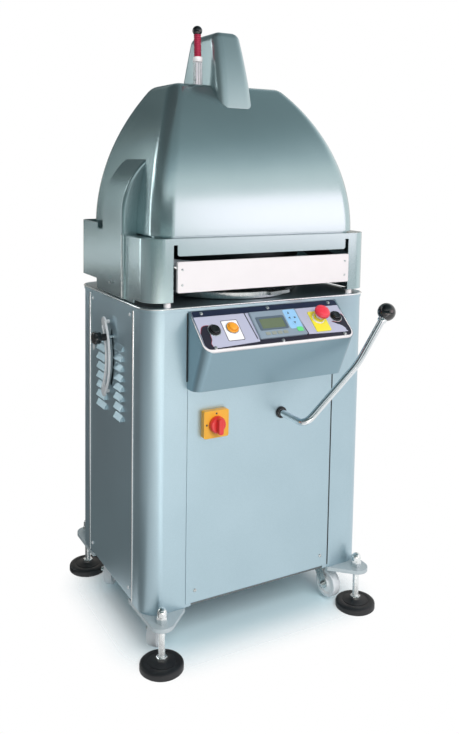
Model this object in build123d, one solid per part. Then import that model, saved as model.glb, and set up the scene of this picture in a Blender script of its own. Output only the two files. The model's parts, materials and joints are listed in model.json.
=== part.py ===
from build123d import *
import os
from math import atan2, cos, radians, sin

# A free-standing dough divider rounder: cabinet on levelling feet and casters, sloped control console,
# orbiting moulding table, and a rear-hinged press head under an arched hood.
# Millimetres. +X right, +Y back, +Z up. The origin is on the floor under the press axis.

# Cabinet
cabinet_width = 634.0
cabinet_depth = 464.0
cabinet_height = 726.0
corner_radius = 45.0
panel_sheet = 2.0
post_sheet = 3.0
post_front_leg = 105.0
post_side_leg = 79.0
post_flange = 16.0
panel_seam = 1.0
front_panel_gap = 4.0
front_panel_lift = 8.0
side_panel_lift = 5.0
top_cover_height = 11.0
top_sheet = 4.0
top_overhang = 2.0
top_skirt = 6.0
top_edge_radius = 4.0
base_sheet = 4.0

# Foot brackets, levelling feet and dome nuts
bracket_bottom = 104.0
bracket_thickness = 10.0
stud_inset = 31.0
stud_reach = 29.0
bracket_tip_radius = 30.0
stud_radius = 8.0
stud_top = 130.0
pad_radius = 52.5
pad_rim_height = 18.5
pad_height = 22.0
pad_rim_bevel = (2.0, 4.0)
pad_crown_radius = 15.0
stud_seat = 8.0
hex_nut_across = 24.0
hex_nut_height = 9.0
dome_nut_across = 24.0
dome_nut_hex = 16.0
dome_nut_height = 36.0
dome_nut_wall = 4.0

# Casters
caster_inset_x = 77.0
caster_inset_y = 68.0
caster_plate_size = 70.0
caster_plate_thickness = 4.0
caster_plate_corner = 7.0
wheel_radius = 37.5
wheel_width = 25.0
wheel_lift = 10.0
wheel_hub_radius = 12.0
wheel_edge_radius = 4.0
wheel_crown_gap = 2.5
caster_trail = 31.0
caster_headings = {
    "front_left": -140.0,
    "front_right": -84.0,
    "rear_left": -129.0,
    "rear_right": -50.0,
}
fork_sheet = 3.0
fork_gap = 29.0
fork_crown_radius = 22.0
fork_race_radius = 17.5
fork_heel = 15.5
kingpin_radius = 6.0
axle_radius = 5.0

# Louvres
louvre_rows = 8
louvre_pitch = 25.0
louvre_drop = 102.0
louvre_height = 15.0
louvre_depth = 8.0
louvre_wall = 1.5
louvre_front_insets = (241.0, 193.0)
louvre_rear_insets = (129.0, 69.0)

# Console on the front panel
console_overlap = 1.0
console_drop = 1.0
console_lip_reach = 90.0
console_lip_drop = 79.0
console_foot_reach = 40.0
console_height = 184.0
console_nose = (3.0, 7.0)
console_sheet = 2.5
console_corner_radius = 21.0
fascia_margin = 6.0
fascia_depth = 114.0
fascia_sheet = 2.0
fascia_top_corner = 3.0
fascia_low_corner = 20.0
display_size = (134.0, 80.0)
display_height = 6.0
display_place = (6.0, -1.5)
display_corner = 3.0
display_chamfer = 2.0
button_radius = 11.0
button_proud = 9.0
button_stem = 16.0
bezel_radius = 15.0
bezel_height = 5.0
left_button_inset = (39.0, -1.5)
right_button_inset = (24.0, 4.5)
lamp_step = (49.0, 2.0)
estop_step = (-56.0, -2.0)
estop_plate_size = (44.0, 62.0)
estop_plate_drop = 8.0
estop_plate_sheet = 2.0
estop_plate_corner = 3.0
estop_collar_radius = 14.0
estop_collar_height = 10.0
estop_stem_radius = 8.0
estop_head_radius = 20.0
estop_head_height = 15.0
estop_head_lift = 23.0
estop_head_round = 9.0

# Main switch and rounding lever on the front panel
switch_inset = 71.0
switch_drop = 91.0
switch_plate = 67.0
switch_plate_thickness = 15.0
switch_plate_corner = 5.0
switch_knob_radius = 21.0
switch_knob_height = 13.0
switch_grip_height = 14.0
switch_grip_width = 13.0
switch_shaft_radius = 6.0
lever_x = 52.0
lever_drop = 93.0
lever_radius = 9.0
lever_reach = 108.0
lever_inside = 60.0
lever_slope = 40.5
lever_straight = 205.0
lever_tip_slope = 55.0
lever_tip = 130.0
lever_bend_radius = 24.0
lever_sweep_radius = 200.0
lever_ball_radius = 23.0
lever_ball_seat = 3.0
lever_bush_radius = 13.6
lever_bush_proud = 5.0
lever_bush_wall = 2.6
lever_arm_length = 55.0
lever_arm_width = 22.0
lever_arm_thickness = 12.0

# Weight adjuster on the left side
arc_radius = 146.0
arc_inset = 29.0
arc_drop = 46.0
arc_half_angle = 38.0
guide_width = 26.0
guide_sheet = 4.0
guide_standoff = 12.0
guide_slot = 12.6
guide_foot_radius = 5.0
weight_rest_angle = 22.0
weight_top_angle = 26.0
weight_bottom_angle = -26.0
weight_shaft_radius = 6.0
weight_arm_sheet = 6.0
weight_arm_width = 24.0
weight_pivot_radius = 8.0
weight_pivot_length = 20.0
weight_knob_radius = 17.0
weight_knob_length = 19.0
weight_stem_radius = 9.0
weight_stem_length = 16.0
weight_knob_lobes = 6
weight_knob_core = 0.82
weight_lobe_share = 0.28
weight_arm_gap = 2.0
weight_slot_spare = 1.0

# Head surround
head_gap = 12.0
surround_height = 148.0
surround_wall = 3.0
surround_ledge = 4.0
ledge_width_side = 66.0
ledge_width_front = 24.0
slot_inset = 66.0
slot_width = 10.0
slot_top = 133.0
strip_bottom = 107.0
strip_corner = 7.0
rear_lift = 18.0
rear_corner_radius = 27.0
rear_band_height = 17.0
rear_lift_reach = 136.0
skirt_tab_drop = 9.0
foot_flange = 14.0
bumper_radius = 8.5
bumper_inset = (55.0, 10.0)

# Head hinge
hinge_inset = (110.0, 37.0)
hinge_lift = 22.0
hinge_pin_radius = 8.0
hinge_lug_width = 14.0
hinge_lug_radius = 13.0
hinge_block_width = 20.0
hinge_lug_rise = 52.0
hinge_lug_span = 70.0
hinge_side_gap = 1.0
hinge_foot = 6.0

# Hood, spine cover and side fairing
hatch_size = (78.0, 92.0)
hatch_y = 14.0
hood_side_inset = 29.0
hood_end_inset = 8.0
hood_mid_y = 4.0
hood_height = 374.0
hood_side_radius = 625.0
hood_front_radius = 470.0
hood_rear_radius = 690.0
hood_ridge_radius = 45.0
hood_wall = 3.0
hood_plinth = 4.0
hood_plinth_inset = 9.0
spine_x = -12.0
spine_base_lift = 285.0
spine_height = 226.0
spine_widths = (102.0, 81.0)
spine_front = ((-107.0, 0.0), (-80.0, 114.0), (-38.0, 226.0))
spine_rear = ((102.0, 226.0), (136.0, 126.0), (164.0, 0.0))
spine_edge_radius = 24.0
spine_wall = 3.0
fairing_reach = 8.0
fairing_span = (-97.0, 36.0)
fairing_bulge_top = 47.0
fairing_top = 190.0
fairing_top_inset = 65.0
fairing_plate_proud = 3.0
fairing_plate_gap = 2.0
fairing_plate_lift = 1.0
fairing_screw_lift = 34.0
fairing_wall = 3.0
fairing_edge_radius = 7.0

# Guard flap
flap_end_gap = 6.0
flap_thickness = 8.0
flap_gap = 2.0
flap_bottom = 23.0
flap_height = 72.0
flap_corner = 4.0
arm_thickness = 5.0
arm_front = (29.0, 77.0)
arm_pivot_y = 60.0
arm_pivot_lift = 122.0
arm_pivot_radius = 6.0
arm_boss_radius = 14.0
arm_pad = 10.0
arm_lug_depth = 8.0

# Press unit in the head
bridge_inset = 49.0
bridge_half_depth = 60.0
bridge_thickness = 14.0
cylinder_radius = 60.0
cylinder_height = 265.0
rod_guide_radius = 24.0
rod_guide_height = 150.0
rod_radius = 18.0
rod_length = 260.0
rod_spare = 10.0
press_lift = 85.0
press_depth = 40.0
press_back = 10.0
knife_count = 12
knife_thickness = 2.0
knife_clearance = 0.5
knife_hub_radius = 30.0
knife_ring_wall = 4.0
knife_ring_gap = 4.0
knife_end_gap = 1.0
dividing_ring_inset = 27.0
dividing_ring_wall = 8.0
dividing_ring_drop = 2.0

# Top lever
top_lever_x = -86.0
top_lever_y = -21.0
top_lever_lift = 310.0
top_lever_lean = 2.8
top_lever_bar = (20.0, 13.0)
top_lever_heel = 12.0
top_lever_bar_length = 121.8
top_lever_collar_radius = 12.0
top_lever_collar = 12.0
top_lever_grip_radius = 9.2
top_lever_grip = 58.0
top_lever_knob_radius = 12.8
top_lever_knob_seat = 3.0
top_lever_pin_radius = 5.0
top_lever_slot = (28.0, 56.0)
top_lever_slot_lead = 9.0
top_lever_lug_sheet = 8.0
top_lever_lug_width = 24.0
top_lever_lug_gap = 1.0
top_lever_arm_drop = 75.0
top_lever_arm_height = 20.0

# Rounding drive and table
table_step = 5.0
table_gap = 2.5
table_thickness = 8.0
plate_inset = 37.0
plate_thickness = 8.0
plate_tab = (70.0, 26.0)
plate_tab_angle = -75.0
crank_throw = 14.0
crank_pin_radius = 14.0
crank_disc_radius = 52.0
crank_disc_thickness = 14.0
crank_shaft_radius = 20.0
crank_shaft_length = 90.0
table_hub_radius = 30.0
table_hub_depth = 26.0
table_hub_play = 4.0
crank_pin_gap = 2.0
crank_disc_gap = 1.5
gearbox_radius = 88.0
gearbox_height = 130.0
motor_radius = 78.0
motor_height = 240.0
motor_leg_radius = 9.0
motor_leg_circle = 78.0
motor_leg_count = 4
gearbox_gap = 10.0
shaft_end_gap = 2.0

# Hydraulic power unit and cable gland
tank_size = (220.0, 170.0, 150.0)
tank_place = (-160.0, 90.0)
tank_corner = 10.0
pump_radius = 58.0
pump_height = 170.0
gland_inset = 32.0
gland_lift = 76.0
gland_radius = 14.0
gland_neck_radius = 9.8
gland_length = 24.0
gland_bore = 6.0

# Fits
run_fit = 0.05
loose_fit = 0.35
screw_radius = 4.0
screw_height = 2.4
shaft_hole_gap = 3.0
front_screw_inset = 26.0
front_screw_lift = 38.0
side_screw_inset = 23.0
side_screw_drop = 17.0
side_screw_lift = 29.0
fascia_screw_end = 24.0
fascia_screw_inset = 7.0

# Derived places
half_width = cabinet_width / 2
half_depth = cabinet_depth / 2
post_bottom = bracket_bottom + bracket_thickness
post_top = post_bottom + cabinet_height
top_z = post_top + top_cover_height
front_y = -half_depth
stud_x = half_width - stud_inset
stud_y = half_depth + stud_reach
seam_x = half_width - post_front_leg
seam_y = half_depth - post_side_leg
caster_x = half_width - caster_inset_x
caster_y = half_depth - caster_inset_y
axle_z = wheel_lift + wheel_radius
head_z = top_z + head_gap
ledge_z = head_z + surround_height
hood_base = ledge_z + hood_plinth
hinge_z = top_z + hinge_lift
rear_lift_start = half_depth - rear_lift_reach
console_top = post_top - console_drop
console_foot = console_top - console_height
console_width = 2 * (seam_x + console_overlap)
fascia_width = console_width - 2 * fascia_margin
left_button_place = (left_button_inset[0] - fascia_width / 2, left_button_inset[1])
right_button_place = (fascia_width / 2 - right_button_inset[0], right_button_inset[1])
lamp_place = (left_button_place[0] + lamp_step[0], left_button_place[1] + lamp_step[1])
estop_place = (right_button_place[0] + estop_step[0], right_button_place[1] + estop_step[1])
switch_x = switch_inset - seam_x
switch_z = console_foot - switch_drop
lever_z = console_foot - lever_drop
louvre_top = post_top - louvre_drop
slot_outer_x = half_width - slot_inset
slot_inner_x = slot_outer_x - slot_width
flap_half_width = slot_outer_x - flap_end_gap
bumper_x = half_width - bumper_inset[0]
bumper_y = half_depth - bumper_inset[1]
hinge_x = half_width - hinge_inset[0]
hinge_y = half_depth - hinge_inset[1]
hood_half_width = half_width - hood_side_inset
hood_half_depth = half_depth - hood_end_inset
hood_top = hood_base + hood_height
fairing_top_x = half_width - fairing_top_inset
bridge_half_width = half_width - bridge_inset
dividing_ring_radius = half_depth - dividing_ring_inset
knife_ring_radius = dividing_ring_radius - dividing_ring_wall - knife_ring_gap
press_radius = knife_ring_radius - knife_ring_wall - knife_ring_gap
plate_radius = half_depth - plate_inset
table_radius = plate_radius - table_step
fascia_drop = atan2(console_lip_drop, console_lip_reach)
fascia_plane = Plane(
    origin=(0, front_y - console_lip_reach / 2, console_top - console_lip_drop / 2),
    x_dir=(1, 0, 0),
    z_dir=(0, -sin(fascia_drop), cos(fascia_drop)),
)
arc_centre_y = seam_y - arc_inset
arc_mid_z = louvre_top - arc_drop
guide_x = -half_width - guide_standoff
table_z = top_z + table_gap
plate_z = table_z + table_thickness
press_z = head_z + press_lift
pivot_y = top_lever_y
pivot_z = hood_base + top_lever_lift
gland_x = seam_x - gland_inset
gland_z = post_bottom + gland_lift

pieces = {}


# Shape helpers
def block(x_low, x_high, y_low, y_high, z_low, z_high):
    size = Box(x_high - x_low, y_high - y_low, z_high - z_low)
    return Pos((x_low + x_high) / 2, (y_low + y_high) / 2, (z_low + z_high) / 2) * size


def rod_x(radius, x_low, x_high, y, z):
    return Pos((x_low + x_high) / 2, y, z) * Rot(0, 90, 0) * Cylinder(radius, x_high - x_low)


def rod_y(radius, x, y_low, y_high, z):
    return Pos(x, (y_low + y_high) / 2, z) * Rot(90, 0, 0) * Cylinder(radius, y_high - y_low)


def rod_z(radius, x, y, z_low, z_high):
    return Pos(x, y, (z_low + z_high) / 2) * Cylinder(radius, z_high - z_low)


def rounded_prism(width, depth, radius, z_low, z_high):
    return Pos(0, 0, z_low) * extrude(RectangleRounded(width, depth, radius), z_high - z_low)


def slab_x(sketch, x_low, x_high):
    """A sketch drawn in Y and Z, made solid between two X places."""
    return extrude(Plane.YZ.offset(x_low) * sketch, x_high - x_low)


def slab_y(sketch, y_low, y_high):
    """A sketch drawn in X and Z, made solid between two Y places."""
    return extrude(Plane.XZ.offset(-y_high) * sketch, y_high - y_low)


def turned(points):
    """A solid of revolution about Z from (radius, height) points."""
    outline = Polyline([(r, 0, z) for r, z in points], close=True)
    return revolve(make_face(outline), Axis.Z)


def hexagon(across, z_low, z_high):
    return Pos(0, 0, z_low) * extrude(RegularPolygon(across / 2, 6, major_radius=False), z_high - z_low)


def group(solids):
    return Compound(children=list(solids))


corners = {
    "front_left": (-1, -1),
    "front_right": (1, -1),
    "rear_left": (-1, 1),
    "rear_right": (1, 1),
}


# Corner posts: rounded sheet angles with joggled flanges behind the panels
def corner_post(side_x, side_y):
    outer = RectangleRounded(cabinet_width, cabinet_depth, corner_radius)
    inner = RectangleRounded(
        cabinet_width - 2 * post_sheet, cabinet_depth - 2 * post_sheet, corner_radius - post_sheet
    )
    reach_x = post_front_leg / 2
    reach_y = post_side_leg / 2
    window = Pos(side_x * (seam_x + reach_x), side_y * (seam_y + reach_y)) * Rectangle(
        post_front_leg, post_side_leg
    )
    band = (outer - inner) & window
    flange_length = post_flange + post_sheet
    front_flange = Pos(
        side_x * (seam_x + post_sheet - flange_length / 2),
        side_y * (half_depth - panel_sheet - post_sheet / 2),
    ) * Rectangle(flange_length, post_sheet)
    side_flange = Pos(
        side_x * (half_width - panel_sheet - post_sheet / 2),
        side_y * (seam_y + post_sheet - flange_length / 2),
    ) * Rectangle(post_sheet, flange_length)
    return Pos(0, 0, post_bottom) * extrude(band + front_flange + side_flange, cabinet_height)


pieces["corner_posts"] = group(corner_post(*place) for place in corners.values())


# Foot brackets: thick plates under the posts, drawn out to a round tip over each stud
def foot_bracket(side_x, side_y):
    inner_x = caster_x - caster_plate_size / 2
    inner_y = caster_y - caster_plate_size / 2
    seat = Polygon(
        (side_x * seam_x, side_y * half_depth),
        (side_x * half_width, side_y * seam_y),
        (side_x * half_width, side_y * inner_y),
        (side_x * inner_x, side_y * inner_y),
        (side_x * inner_x, side_y * (half_depth - corner_radius)),
        align=None,
    )
    tip = Pos(side_x * stud_x, side_y * stud_y) * Circle(bracket_tip_radius)
    outline = make_hull(seat.edges() + tip.edges())
    hole = Pos(side_x * stud_x, side_y * stud_y) * Circle(stud_radius + run_fit)
    return Pos(0, 0, bracket_bottom) * extrude(outline - hole, bracket_thickness)


pieces["foot_brackets"] = group(foot_bracket(*place) for place in corners.values())


# Dome nuts: closed nuts on the brackets that take the foot studs
def dome_nut(side_x, side_y):
    dome_radius = dome_nut_across / 2
    body = hexagon(dome_nut_across, 0, dome_nut_hex)
    body += rod_z(dome_radius, 0, 0, 0, dome_nut_height - dome_radius)
    body += Pos(0, 0, dome_nut_height - dome_radius) * Sphere(dome_radius)
    body -= rod_z(dome_radius * 2, 0, 0, -dome_nut_height, 0)
    body -= rod_z(stud_radius + run_fit, 0, 0, 0, dome_nut_height - dome_nut_wall)
    return Pos(side_x * stud_x, side_y * stud_y, post_bottom) * body


pieces["foot_dome_nuts"] = group(dome_nut(*place) for place in corners.values())


# Levelling feet: a moulded pad on a threaded stud with its hexagon
def levelling_foot(side_x, side_y):
    stud = rod_z(stud_radius, 0, 0, stud_seat, stud_top)
    stud += hexagon(hex_nut_across, pad_height, pad_height + hex_nut_height)
    pad = turned(
        [
            (0, 0),
            (pad_radius - pad_rim_bevel[0], 0),
            (pad_radius, pad_rim_bevel[0]),
            (pad_radius, pad_rim_height - pad_rim_bevel[1]),
            (pad_radius - pad_rim_bevel[1], pad_rim_height),
            (pad_crown_radius, pad_height),
            (0, pad_height),
        ]
    )
    pad -= rod_z(stud_radius, 0, 0, stud_seat, stud_top)
    place = Pos(side_x * stud_x, side_y * stud_y)
    return group([place * pad, place * stud])


for name, place in corners.items():
    pieces[f"levelling_foot_{name}"] = levelling_foot(*place)


# Casters: plate under the bracket, swivel fork with its axle, and wheel
def caster_plate(side_x, side_y):
    size = RectangleRounded(caster_plate_size, caster_plate_size, caster_plate_corner)
    hole = Circle(kingpin_radius + run_fit)
    plate = extrude(size - hole, caster_plate_thickness)
    return Pos(side_x * caster_x, side_y * caster_y, bracket_bottom - caster_plate_thickness) * plate


def caster_frame(name):
    side_x, side_y = corners[name]
    return Pos(side_x * caster_x, side_y * caster_y) * Rot(0, 0, caster_headings[name])


def caster_fork():
    plate_bottom = bracket_bottom - caster_plate_thickness
    crown_z = axle_z + wheel_radius + wheel_crown_gap
    crown = rod_z(fork_crown_radius, 0, 0, crown_z, crown_z + fork_sheet)
    crown += rod_z(fork_race_radius, 0, 0, crown_z + fork_sheet, plate_bottom - loose_fit)
    crown += rod_z(kingpin_radius, 0, 0, plate_bottom - loose_fit, bracket_bottom - loose_fit)
    leg_top = Polygon(
        (-fork_heel, crown_z),
        (fork_crown_radius, crown_z),
        (fork_crown_radius, crown_z + fork_sheet),
        (-fork_heel, crown_z + fork_sheet),
        align=None,
    )
    leg_end = Pos(caster_trail, axle_z) * Circle(wheel_hub_radius)
    leg = make_hull(leg_top.edges() + leg_end.edges())
    outside = fork_gap / 2 + fork_sheet
    fork = crown + block(
        -fork_heel, fork_crown_radius, -outside, outside, crown_z, crown_z + fork_sheet
    )
    fork += slab_y(leg, fork_gap / 2, outside)
    fork += slab_y(leg, -outside, -fork_gap / 2)
    return fork + rod_y(axle_radius, caster_trail, -outside, outside, axle_z)


def caster_wheel():
    half = wheel_width / 2
    hub_half = fork_gap / 2 - loose_fit
    tread = fillet(rod_y(wheel_radius, 0, -half, half, 0).edges(), wheel_edge_radius)
    tread += rod_y(wheel_hub_radius, 0, -hub_half, hub_half, 0)
    tread -= rod_y(axle_radius + run_fit, 0, -fork_gap, fork_gap, 0)
    return Pos(caster_trail, 0, axle_z) * tread


pieces["caster_plates"] = group(caster_plate(*place) for place in corners.values())
for name in corners:
    pieces[f"caster_fork_{name}"] = caster_frame(name) * caster_fork()
    pieces[f"caster_wheel_{name}"] = caster_frame(name) * caster_wheel()


# Base tray between the post flanges, resting on the brackets
inside_step = 2 * (panel_sheet + post_sheet + loose_fit)
pieces["base_tray"] = rounded_prism(
    cabinet_width - inside_step,
    cabinet_depth - inside_step,
    corner_radius - inside_step / 2,
    post_bottom,
    post_bottom + base_sheet,
)

# Front and rear panels
panel_half_x = seam_x - panel_seam
panel_bottom = post_bottom + front_panel_lift
front_right_x = seam_x - front_panel_gap
front_panel = block(-panel_half_x, front_right_x, front_y, front_y + panel_sheet, panel_bottom, post_top)
front_panel -= rod_y(lever_radius + lever_bush_wall, lever_x, front_y, front_y + panel_sheet, lever_z)
switch_hole = switch_shaft_radius + shaft_hole_gap
front_panel -= rod_y(switch_hole, switch_x, front_y, front_y + panel_sheet, switch_z)
pieces["front_panel"] = front_panel
rear_panel = block(
    -panel_half_x, panel_half_x, half_depth - panel_sheet, half_depth, panel_bottom, post_top
)
rear_panel -= rod_y(gland_neck_radius, gland_x, half_depth - panel_sheet, half_depth, gland_z)
pieces["rear_panel"] = rear_panel


# Side panels with two columns of pressed louvres, open at their lower edge
def louvre_prism(depth, height, wall, y_low, y_high, z_low):
    outline = Polygon(
        (half_width - panel_sheet - wall, z_low),
        (half_width + depth, z_low),
        (half_width, z_low + height),
        (half_width - panel_sheet - wall, z_low + height),
        align=None,
    )
    return slab_y(outline, y_low, y_high)


def side_panel():
    """The right-hand panel; the left one is its mirror image."""
    half_y = seam_y - panel_seam
    panel = block(
        half_width - panel_sheet, half_width, -half_y, half_y, post_bottom + side_panel_lift, post_top
    )
    skins = []
    hollows = []
    for row in range(louvre_rows):
        z_low = louvre_top - louvre_height - row * louvre_pitch
        for insets in (louvre_front_insets, louvre_rear_insets):
            y_low, y_high = (seam_y - inset for inset in insets)
            skins.append(louvre_prism(louvre_depth, louvre_height, 0, y_low, y_high, z_low))
            hollows.append(
                louvre_prism(
                    louvre_depth - louvre_wall,
                    louvre_height - 2 * louvre_wall,
                    louvre_wall,
                    y_low + louvre_wall,
                    y_high - louvre_wall,
                    z_low,
                )
            )
    return panel + skins - hollows


right_side_panel = side_panel()
pieces["right_side_panel"] = right_side_panel
left_side_panel = mirror(right_side_panel, about=Plane.YZ)


# Weight adjuster: an arc guide, a lever that swings behind it, and a clamping knob
def arc_band(radius, width, half_angle):
    """A rounded slot along the adjuster's arc, in Y and Z."""
    ring = Circle(radius + width / 2) - Circle(radius - width / 2)
    reach = 2 * radius
    wedge = Polygon(
        (0, 0),
        (-reach, -reach * sin(radians(half_angle)) / cos(radians(half_angle))),
        (-reach, reach * sin(radians(half_angle)) / cos(radians(half_angle))),
        align=None,
    )
    band = ring & wedge
    for end in (-half_angle, half_angle):
        band += Rot(0, 0, end) * Pos(-radius, 0) * Circle(width / 2)
    return Pos(arc_centre_y, arc_mid_z) * band


def arc_point(angle):
    """Y and Z on the adjuster's arc, with the angle counted up from level."""
    turn = radians(angle)
    return arc_centre_y - arc_radius * cos(turn), arc_mid_z + arc_radius * sin(turn)


travel_half = max(weight_top_angle, -weight_bottom_angle)
slot_angle = travel_half + weight_slot_spare
shaft_slot = arc_band(arc_radius, guide_slot, slot_angle)
left_side_panel -= slab_x(shaft_slot, -half_width, -half_width + panel_sheet)
left_side_panel -= rod_x(
    weight_pivot_radius, -half_width, -half_width + panel_sheet, arc_centre_y, arc_mid_z
)
pieces["left_side_panel"] = left_side_panel

guide = slab_x(arc_band(arc_radius, guide_width, arc_half_angle), guide_x - guide_sheet, guide_x)
guide -= slab_x(shaft_slot, guide_x - guide_sheet, guide_x)
for end in (-arc_half_angle, arc_half_angle):
    foot_y, foot_z = arc_point(end)
    guide += rod_x(guide_foot_radius, guide_x, -half_width, foot_y, foot_z)
weight_pin = rod_x(
    weight_pivot_radius, -half_width, -half_width + weight_pivot_length, arc_centre_y, arc_mid_z
)
pieces["weight_guide"] = group([guide, weight_pin])

knob_y, knob_z = arc_point(weight_rest_angle)
arm_x = -half_width + panel_sheet + post_sheet + weight_arm_gap
arm = make_hull(
    (Pos(arc_centre_y, arc_mid_z) * Circle(weight_arm_width / 2)).edges()
    + (Pos(knob_y, knob_z) * Circle(weight_arm_width / 2)).edges()
)
weight_lever = slab_x(arm, arm_x, arm_x + weight_arm_sheet)
stem_end = guide_x - guide_sheet - loose_fit - weight_stem_length
weight_lever += rod_x(weight_shaft_radius, stem_end, arm_x, knob_y, knob_z)
weight_lever -= rod_x(
    weight_pivot_radius + run_fit, arm_x, arm_x + weight_arm_sheet, arc_centre_y, arc_mid_z
)
pieces["weight_lever"] = weight_lever

knob_stem = rod_z(weight_stem_radius, 0, 0, -weight_stem_length, 0)
knob_end = -weight_stem_length - weight_knob_length
knob_head = rod_z(weight_knob_radius * weight_knob_core, 0, 0, knob_end, -weight_stem_length)
for lobe in range(weight_knob_lobes):
    turn = radians(360 / weight_knob_lobes * lobe)
    reach = weight_knob_radius * (1 - weight_lobe_share)
    knob_head += rod_z(
        weight_knob_radius * weight_lobe_share,
        reach * cos(turn),
        reach * sin(turn),
        knob_end,
        -weight_stem_length,
    )
knob_bore = rod_z(weight_shaft_radius + run_fit, 0, 0, -weight_stem_length, 0)
knob_frame = Pos(guide_x - guide_sheet - loose_fit, knob_y, knob_z) * Rot(0, 90, 0)
pieces["weight_knob"] = knob_frame * (knob_stem + knob_head - knob_bore)

# Cabinet top: a shallow tray with a rounded rim and a well for the table hub
top_cover = rounded_prism(
    cabinet_width + 2 * top_overhang,
    cabinet_depth + 2 * top_overhang,
    corner_radius + top_overhang,
    post_top,
    top_z,
)
top_cover = fillet(top_cover.edges().group_by(Axis.Z)[-1], top_edge_radius)
top_cover -= rounded_prism(
    cabinet_width - 2 * top_skirt,
    cabinet_depth - 2 * top_skirt,
    corner_radius - top_skirt,
    post_top,
    top_z - top_sheet,
)
hub_well = table_hub_radius + crank_throw + table_hub_play
top_cover -= rod_z(hub_well, 0, 0, post_top, top_z)
pieces["cabinet_top"] = top_cover


# Console: a sheet box with a sloped top, open towards the front panel
def console_outline(inset):
    lip_y = front_y - console_lip_reach
    lip_z = console_top - console_lip_drop
    outline = Polygon(
        (front_y, console_top),
        (lip_y, lip_z),
        (lip_y + console_nose[0], lip_z - console_nose[1]),
        (front_y - console_foot_reach, console_foot),
        (front_y, console_foot),
        align=None,
    )
    if inset == 0:
        return outline
    return offset(outline, -inset, kind=Kind.INTERSECTION)


def console_body(inset):
    half = console_width / 2 - inset
    body = slab_x(console_outline(inset), -half, half)
    front = front_y - console_foot_reach
    ends = [e for e in body.edges() if abs(abs(e.center().X) - half) < 0.01 and e.center().Y < front]
    slanted = [e for e in ends if abs((e % 0.5).Z) > 0.5 and e.center().Z < console_top - console_lip_drop]
    return fillet(slanted, console_corner_radius - inset)


control_box = console_body(0) - console_body(console_sheet)
control_box -= block(
    -console_width / 2 + 4 * console_sheet,
    console_width / 2 - 4 * console_sheet,
    front_y - 2 * console_sheet,
    front_y,
    console_foot + 2 * console_sheet,
    console_top - 6 * console_sheet,
)


def on_fascia(place, height=0.0):
    return fascia_plane.location * Pos(place[0], place[1], height)


def fascia_rod(radius, place, low, high):
    return on_fascia(place, (low + high) / 2) * Cylinder(radius, high - low)


button_places = {
    "two_hand_button_left": left_button_place,
    "two_hand_button_right": right_button_place,
    "lamp_button": lamp_place,
}
upper_half = Pos(0, fascia_depth / 2) * Rectangle(2 * fascia_width, fascia_depth)
lower_half = Pos(0, -fascia_depth / 2) * Rectangle(2 * fascia_width, fascia_depth)
fascia_sketch = RectangleRounded(fascia_width, fascia_depth, fascia_top_corner) & upper_half
fascia_sketch += RectangleRounded(fascia_width, fascia_depth, fascia_low_corner) & lower_half
fascia = fascia_plane.location * extrude(fascia_sketch, fascia_sheet)
for place in button_places.values():
    well = fascia_rod(button_radius + loose_fit, place, -4 * console_sheet, fascia_sheet)
    control_box -= well
    fascia -= well
estop_well = fascia_rod(estop_stem_radius + loose_fit, estop_place, -4 * console_sheet, fascia_sheet)
pieces["control_box"] = control_box - estop_well
pieces["control_fascia"] = fascia - estop_well

display = extrude(RectangleRounded(*display_size, display_corner), display_height)
display = chamfer(display.edges().group_by(Axis.Z)[-1], display_chamfer)
pieces["display_housing"] = on_fascia(display_place, fascia_sheet) * display

bezels = []
bezel_top = fascia_sheet + bezel_height
for name, place in button_places.items():
    ring = fascia_rod(bezel_radius, place, fascia_sheet, bezel_top)
    bezels.append(ring - fascia_rod(button_radius + loose_fit, place, fascia_sheet, bezel_top))
    plunger = fascia_rod(button_radius, place, -button_stem, fascia_sheet + button_proud)
    pieces[name] = plunger
pieces["button_bezels"] = group(bezels)

plate_place = (estop_place[0], estop_place[1] - estop_plate_drop)
estop_plate = on_fascia(plate_place, fascia_sheet) * extrude(
    RectangleRounded(*estop_plate_size, estop_plate_corner), estop_plate_sheet
)
collar_base = fascia_sheet + estop_plate_sheet
estop_plate += fascia_rod(estop_collar_radius, estop_place, collar_base, collar_base + estop_collar_height)
estop_plate -= fascia_rod(
    estop_stem_radius + loose_fit, estop_place, fascia_sheet, collar_base + estop_collar_height
)
pieces["estop_plate"] = estop_plate
head_low = fascia_sheet + estop_head_lift
estop_head = Cylinder(estop_head_radius, estop_head_height)
estop_head = fillet(estop_head.edges().group_by(Axis.Z)[-1], estop_head_round)
mushroom = fascia_rod(estop_stem_radius, estop_place, -button_stem, head_low)
mushroom += on_fascia(estop_place, head_low + estop_head_height / 2) * estop_head
pieces["estop_mushroom"] = mushroom

# Main switch: square plate and a round knob with a grip bar
switch_front = front_y - switch_plate_thickness
plate_sketch = Pos(switch_x, switch_z) * RectangleRounded(switch_plate, switch_plate, switch_plate_corner)
main_switch_plate = slab_y(plate_sketch, switch_front, front_y)
main_switch_plate -= rod_y(switch_shaft_radius + run_fit, switch_x, switch_front, front_y, switch_z)
pieces["main_switch_plate"] = main_switch_plate
knob_back = switch_front - loose_fit
main_switch_knob = rod_y(switch_knob_radius, switch_x, knob_back - switch_knob_height, knob_back, switch_z)
main_switch_knob += block(
    switch_x - switch_grip_width / 2,
    switch_x + switch_grip_width / 2,
    knob_back - switch_knob_height - switch_grip_height,
    knob_back - switch_knob_height,
    switch_z - switch_knob_radius,
    switch_z + switch_knob_radius,
)
main_switch_knob += rod_y(switch_shaft_radius, switch_x, knob_back, front_y + panel_sheet, switch_z)
pieces["main_switch_knob"] = main_switch_knob

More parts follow.
